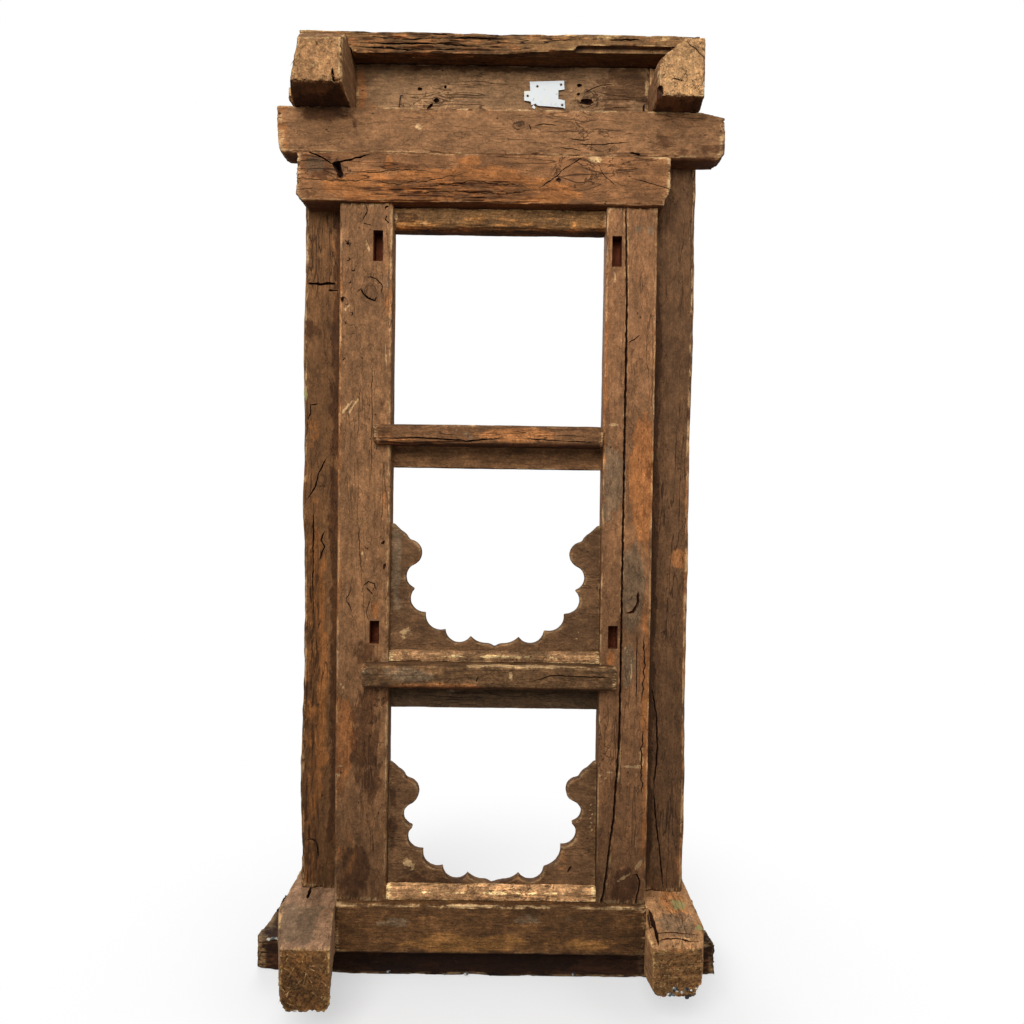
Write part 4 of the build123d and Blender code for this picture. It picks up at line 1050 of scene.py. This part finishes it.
# Tin plate: a bare scrap of enamelled sheet, nailed through its tabs over the frieze where
# a hole was mended. Its lower left corner is torn off and rust has crept from the nails.
plate_outline = [(55, 1795), (123, 1798), (124, 1781), (112, 1779), (112, 1762), (125, 1759),
                 (126, 1743), (121, 1745), (96, 1747), (72, 1748), (67, 1752), (59, 1749),
                 (57, 1756), (44, 1758), (44, 1776), (56, 1777)]
plate_scrap = [(62, 1749), (67, 1745), (65, 1741), (60, 1744)]
plate_nails = [(70, 1786), (117, 1790), (51, 1767), (120, 1750)]
sheet_thickness, sheet_front = 0.8, -4.0


def sheet_piece(outline, front):
    """Flat sheet metal cut to an outline on the room side."""
    sheet = bmesh.new()
    face = sheet.faces.new([sheet.verts.new(on_face(point, front, "Y")) for point in outline])
    thick = bmesh.ops.extrude_face_region(sheet, geom=[face])
    moved = [part for part in thick["geom"] if isinstance(part, bmesh.types.BMVert)]
    bmesh.ops.translate(sheet, verts=moved, vec=(0, sheet_thickness * MM, 0))
    bmesh.ops.triangulate(sheet, faces=sheet.faces)
    bmesh.ops.recalc_face_normals(sheet, faces=sheet.faces)
    return sheet


def small_piece(name, shapes, finish):
    """Small shapes joined into one piece that rides with the frame."""
    joined = bmesh.new()
    for shape in shapes:
        one = bpy.data.meshes.new(name)
        shape.to_mesh(one)
        joined.from_mesh(one)
    mesh = bpy.data.meshes.new(name)
    joined.to_mesh(mesh)
    mesh.materials.append(finish)
    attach(held(name, mesh), "root")
    return mesh


def plain_finish(name, roughness, metallic=0.0):
    """Material whose surface colour is wired afterwards: its tree, place and surface."""
    material = bpy.data.materials.new(name)
    material.use_nodes = True
    tree = material.node_tree
    surface = tree.nodes["Principled BSDF"]
    surface.inputs["Roughness"].default_value = roughness
    surface.inputs["Metallic"].default_value = metallic
    return material, tree, wire(tree, "ShaderNodeTexCoord").outputs["Object"], surface


enamel, enamel_tree, enamel_place, enamel_surface = plain_finish("enamel", 0.45)
stains = ramped(enamel_tree, noise_in(enamel_tree, enamel_place, 60.0, 4.0, 0.6), 0.54, 0.68)
enamel_colour = mixed(enamel_tree, maths(enamel_tree, "MULTIPLY", stains, 0.5), tone(196, 200, 200),
                      tone(212, 200, 162))
mist = ramped(enamel_tree, noise_in(enamel_tree, enamel_place, 130.0, 3.0, 0.6), 0.6, 0.7)
enamel_colour = mixed(enamel_tree, maths(enamel_tree, "MULTIPLY", mist, 0.6), enamel_colour,
                      tone(128, 150, 150))
for nail in plate_nails:
    from_nail = vectors(enamel_tree, "SUBTRACT", enamel_place, on_face(nail, sheet_front, "Y"))
    rust = maths(enamel_tree, "SUBTRACT", 1.0, ramped(
        enamel_tree, vectors(enamel_tree, "LENGTH", from_nail, result="Value"), 1.5 * MM, 4.5 * MM))
    enamel_colour = mixed(enamel_tree, maths(enamel_tree, "MULTIPLY", rust, 0.6), enamel_colour,
                          tone(132, 92, 66))
enamel_tree.links.new(enamel_colour, enamel_surface.inputs["Base Color"])
small_piece("tin_plate", [sheet_piece(plate_outline, sheet_front),
                          sheet_piece(plate_scrap, sheet_front - 1)], enamel)

# Nails: hand-forged iron, black with rust. Four hold the plate, and two stand bent in the
# frieze where something else once hung.
iron, iron_tree, iron_place, iron_surface = plain_finish("iron", 0.6, 0.7)
rusting = noise_in(iron_tree, iron_place, 700.0, 4.0, 0.7)
iron_tree.links.new(mixed(iron_tree, ramped(iron_tree, rusting, 0.5, 0.62), tone(30, 26, 26),
                          tone(70, 42, 30)), iron_surface.inputs["Base Color"])


def nail_head(middle, radius=2.3):
    """Low domed head on the room side."""
    head = bmesh.new()
    bmesh.ops.create_icosphere(head, subdivisions=2, radius=radius * MM)
    bmesh.ops.scale(head, verts=head.verts, vec=(1, 0.5, 1))
    bmesh.ops.translate(head, verts=head.verts, vec=on_face(middle, sheet_front, "Y"))
    return head


def nail_shank(points, radius, front):
    """Thin six-sided rod along a bent line on the room side."""
    rod = bmesh.new()
    line = [on_face(point, front, "Y") for point in points]
    for start, end in zip(line, line[1:]):
        part = bmesh.ops.create_cone(rod, cap_ends=True, segments=6, radius1=radius * MM,
                                     radius2=radius * MM, depth=(end - start).length)
        turn = (end - start).to_track_quat("Z", "Y").to_matrix()
        bmesh.ops.rotate(rod, verts=part["verts"], matrix=turn)
        bmesh.ops.translate(rod, verts=part["verts"], vec=(start + end) / 2)
    return rod


small_piece("plate_nails", [nail_head(nail) for nail in plate_nails], iron)
small_piece("bent_nails", [nail_shank([(-204.5, 1739), (-202, 1764), (-196, 1764)], 1.0, -3.5),
                           nail_shank([(283, 1737), (283.5, 1755)], 1.0, -3.0)], iron)

# Splinters: the foot's nose and the left top block were split off rather than sawn, so torn
# strands of the wood still lie over the broken ends.
def splinters_tree():
    """Tree that lays thin tapering strands at random over the broken ends of a timber."""
    tree = bpy.data.node_groups.new("splinters", "GeometryNodeTree")
    tree.is_modifier = True
    for name, kind in (("Timber", "Geometry"), ("Density", "Float"), ("Length", "Float"),
                       ("Thickness", "Float"), ("Lowest", "Vector"), ("Highest", "Vector"),
                       ("Seed", "Int"), ("Finish", "Material")):
        tree.interface.new_socket(name, in_out="INPUT", socket_type="NodeSocket" + kind)
    tree.interface.new_socket("Splinters", in_out="OUTPUT", socket_type="NodeSocketGeometry")
    given = tree.nodes.new("NodeGroupInput").outputs
    place = wire(tree, "GeometryNodeInputPosition").outputs[0]
    broken = wire(tree, "GeometryNodeInputNamedAttribute", {"Name": "end"},
                  data_type="FLOAT").outputs[0]
    room_side = wire(tree, "ShaderNodeSeparateXYZ", {
        0: wire(tree, "GeometryNodeInputNormal").outputs[0]}).outputs[1]
    chosen = wire(tree, "FunctionNodeBooleanMath", {
        0: maths(tree, "GREATER_THAN", broken, 0.6), 1: maths(tree, "LESS_THAN", room_side, -0.3)},
        operation="AND").outputs[0]
    strewn = wire(tree, "GeometryNodeDistributePointsOnFaces", {
        "Mesh": given["Timber"], "Density": given["Density"], "Seed": given["Seed"],
        "Selection": chosen})
    turn = wire(tree, "FunctionNodeRandomValue", {
        0: (-1, -1, -1), 1: (1, 1, 1), "Seed": given["Seed"]}, data_type="FLOAT_VECTOR").outputs[0]
    outward = strewn.outputs["Normal"]
    lift = vectors(tree, "DOT_PRODUCT", turn, outward, result="Value")
    lift = maths(tree, "SUBTRACT", lift, 0.12)
    turn = vectors(tree, "SUBTRACT", turn, times(tree, outward, lift))
    turn = wire(tree, "FunctionNodeAlignRotationToVector", {"Vector": turn}, axis="Z").outputs[0]
    strand = wire(tree, "GeometryNodeMeshCone", {"Vertices": 4, "Radius Top": 0.1,
                                                 "Radius Bottom": 1.0, "Depth": 1.0}).outputs[0]
    long = wire(tree, "FunctionNodeRandomValue", {2: 0.4, 3: 1.0, "Seed": given["Seed"]},
                data_type="FLOAT").outputs[1]
    size = wire(tree, "ShaderNodeCombineXYZ", {0: given["Thickness"], 1: given["Thickness"],
                                               2: maths(tree, "MULTIPLY", long, given["Length"])})
    strands = wire(tree, "GeometryNodeInstanceOnPoints", {
        "Points": strewn.outputs["Points"], "Instance": strand, "Rotation": turn,
        "Scale": size.outputs[0]}).outputs[0]
    strands = wire(tree, "GeometryNodeRealizeInstances", {0: strands}).outputs[0]
    within = vectors(tree, "MINIMUM", vectors(tree, "MAXIMUM", place, given["Lowest"]),
                     given["Highest"])
    strands = wire(tree, "GeometryNodeSetPosition",
                   {"Geometry": strands, "Position": within}).outputs[0]
    strands = wire(tree, "GeometryNodeSetMaterial",
                   {"Geometry": strands, "Material": given["Finish"]}).outputs[0]
    tree.links.new(strands, tree.nodes.new("NodeGroupOutput").inputs[0])
    return tree


strand_wood, strand_tree, strand_place, strand_surface = plain_finish("strand_wood", 0.8)
strand_tone = noise_in(strand_tree, strand_place, 90.0, 2.0, 0.6)
strand_tree.links.new(
    mixed(
        strand_tree, ramped(strand_tree, strand_tone, 0.38, 0.64), tone(104, 66, 32),
        tone(184, 142, 86)), strand_surface.inputs["Base Color"])
splinters = splinters_tree()
strewn_ends = ((left_foot, 3600.0, 34.0, 0.9), (right_foot, 1500.0, 16.0, 0.7),
               (left_top_block, 5000.0, 16.0, 0.8), (right_top_block, 2600.0, 12.0, 0.6))
for timber, density, length, thickness in strewn_ends:
    holder = held(timber.name + "_splintered", timber.data.copy())
    strewing = holder.modifiers.new("splinters", "NODES")
    strewing.node_group = splinters
    places = corners(timber.data)
    give(strewing, density=density, length=length * MM, thickness=thickness * MM,
         lowest=places.min(0), highest=places.max(0), seed=len(timber.name), finish=strand_wood)
    strands = held(timber.name.replace("timber", "splinters"), applied(holder))
    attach(strands, "root")

# Mortar crumbs: lime, soot and grit from the bedding of the frame. They still cling under the
# right foot and along the sleeper, as small grey and pale lumps.
import random

crumbs, crumbs_tree, crumbs_place, crumbs_surface = plain_finish("crumbs", 0.9)
crumb_tone = noise_in(crumbs_tree, crumbs_place, 85.0, 1.0, 0.5)
crumb_colour = mixed(crumbs_tree, ramped(crumbs_tree, crumb_tone, 0.42, 0.46), tone(34, 34, 36),
                     tone(92, 94, 92))
crumb_colour = mixed(crumbs_tree, ramped(crumbs_tree, crumb_tone, 0.52, 0.58), crumb_colour,
                     tone(208, 200, 184))
crumbs_tree.links.new(crumb_colour, crumbs_surface.inputs["Base Color"])
crumb_draw = random.Random(5)
crumb_spots = [((352, -178, 80), (26, 3, 8), 12), ((-344, -219, 76), (12, 3, 10), 7),
               ((0, -20, 9), (250, 6, 3), 16), ((-436, -12, 66), (16, 6, 3), 8)]
crumb_balls = []
for middle, spread, count in crumb_spots:
    for _ in range(count):
        spot = [m + crumb_draw.uniform(-s, s) for m, s in zip(middle, spread)]
        size = crumb_draw.uniform(1.2, 3.2)
        crumb_balls.append(pit(spot, (size * 1.4, size * 0.8, size)))
small_piece("mortar_crumbs", crumb_balls, crumbs)

# Studio: a pale floor that fades to white and keeps the frame's shadow, a broad soft lamp in
# front with weaker ones at the side and behind, and a white surround.
floor_mesh = bpy.data.meshes.new("floor")
half_floor = 6.0
floor_mesh.from_pydata([(-half_floor, -half_floor, 0), (half_floor, -half_floor, 0),
                        (half_floor, half_floor, 0), (-half_floor, half_floor, 0)], [],
                       [(0, 1, 2, 3)])
floor = held("floor", floor_mesh)
floor_finish = bpy.data.materials.new("floor_finish")
floor_finish.use_nodes = True
floor_tree = floor_finish.node_tree
floor_place = wire(floor_tree, "ShaderNodeTexCoord").outputs["Object"]
from_frame = vectors(floor_tree, "LENGTH", floor_place, result="Value")
white = wire(floor_tree, "ShaderNodeEmission", {"Color": (1, 1, 1, 1), "Strength": 1.0})
pale_floor = floor_tree.nodes["Principled BSDF"]
pale_floor.inputs["Roughness"].default_value = 0.9
seen = wire(floor_tree, "ShaderNodeLightPath").outputs["Is Camera Ray"]
floor_colour = mixed(floor_tree, seen, (0.3, 0.3, 0.3, 1), (0.88, 0.88, 0.88, 1))
floor_tree.links.new(floor_colour, pale_floor.inputs["Base Color"])
fade = maths(floor_tree, "MULTIPLY", maths(
    floor_tree, "MULTIPLY_ADD", ramped(floor_tree, from_frame, 0.3, 0.95), 0.5, 0.5), seen)
faded = wire(floor_tree, "ShaderNodeMixShader", {0: fade, 1: pale_floor.outputs[0],
                                                 2: white.outputs[0]})
floor_tree.links.new(faded.outputs[0], floor_tree.nodes["Material Output"].inputs["Surface"])
floor_mesh.materials.append(floor_finish)

world = bpy.data.worlds.new("studio")
bpy.context.scene.world = world
world.use_nodes = True
sky = world.node_tree
seen_sky = wire(sky, "ShaderNodeLightPath").outputs["Is Camera Ray"]
surround = sky.nodes["Background"]
surround.inputs["Color"].default_value = (1, 1, 1, 1)
sky.links.new(maths(sky, "MULTIPLY_ADD", seen_sky, 0.62, 0.38), surround.inputs["Strength"])

half_height = Vector((0, 0, 0.95))
for name, place, size, power in (("front_light", (-0.7, -2.7, 2.7), 2.0, 98.0),
                                 ("side_light", (2.4, -1.6, 2.2), 1.6, 22.0),
                                 ("back_light", (-1.2, 3.0, 2.6), 2.0, 60.0)):
    lamp = bpy.data.lights.new(name, "AREA")
    lamp.energy = power
    lamp.size = size
    lamp_holder = bpy.data.objects.new(name, lamp)
    lamp_holder.location = place
    lamp_holder.rotation_mode = "QUATERNION"
    lamp_holder.rotation_quaternion = (half_height - Vector(place)).to_track_quat("-Z", "Y")
    bpy.context.scene.collection.objects.link(lamp_holder)

# The camera stands at chest height before the openings and is turned a little down.
camera = bpy.data.cameras.new("camera")
camera.sensor_width = 36.0
camera.lens = 25.99
camera_holder = bpy.data.objects.new("camera", camera)
bpy.context.scene.collection.objects.link(camera_holder)
pitch, yaw, roll = (math.radians(angle) for angle in (1.27, 0.24, 0.80))
level_right = Vector((math.cos(yaw), -math.sin(yaw), 0))
level_ahead = Vector((math.sin(yaw), math.cos(yaw), 0))
upright = Vector((0, 0, 1))
ahead = math.cos(pitch) * level_ahead - math.sin(pitch) * upright
straight_up = math.sin(pitch) * level_ahead + math.cos(pitch) * upright
right = math.cos(roll) * level_right + math.sin(roll) * straight_up
up = -math.sin(roll) * level_right + math.cos(roll) * straight_up
turned = Matrix((right, up, -ahead)).transposed()
eye = Matrix.Translation(Vector((25.15, -1492.0, 971.86)) * MM)
camera_holder.matrix_world = eye @ turned.to_4x4()
bpy.context.scene.camera = camera_holder
bpy.context.scene.view_settings.view_transform = "Standard"
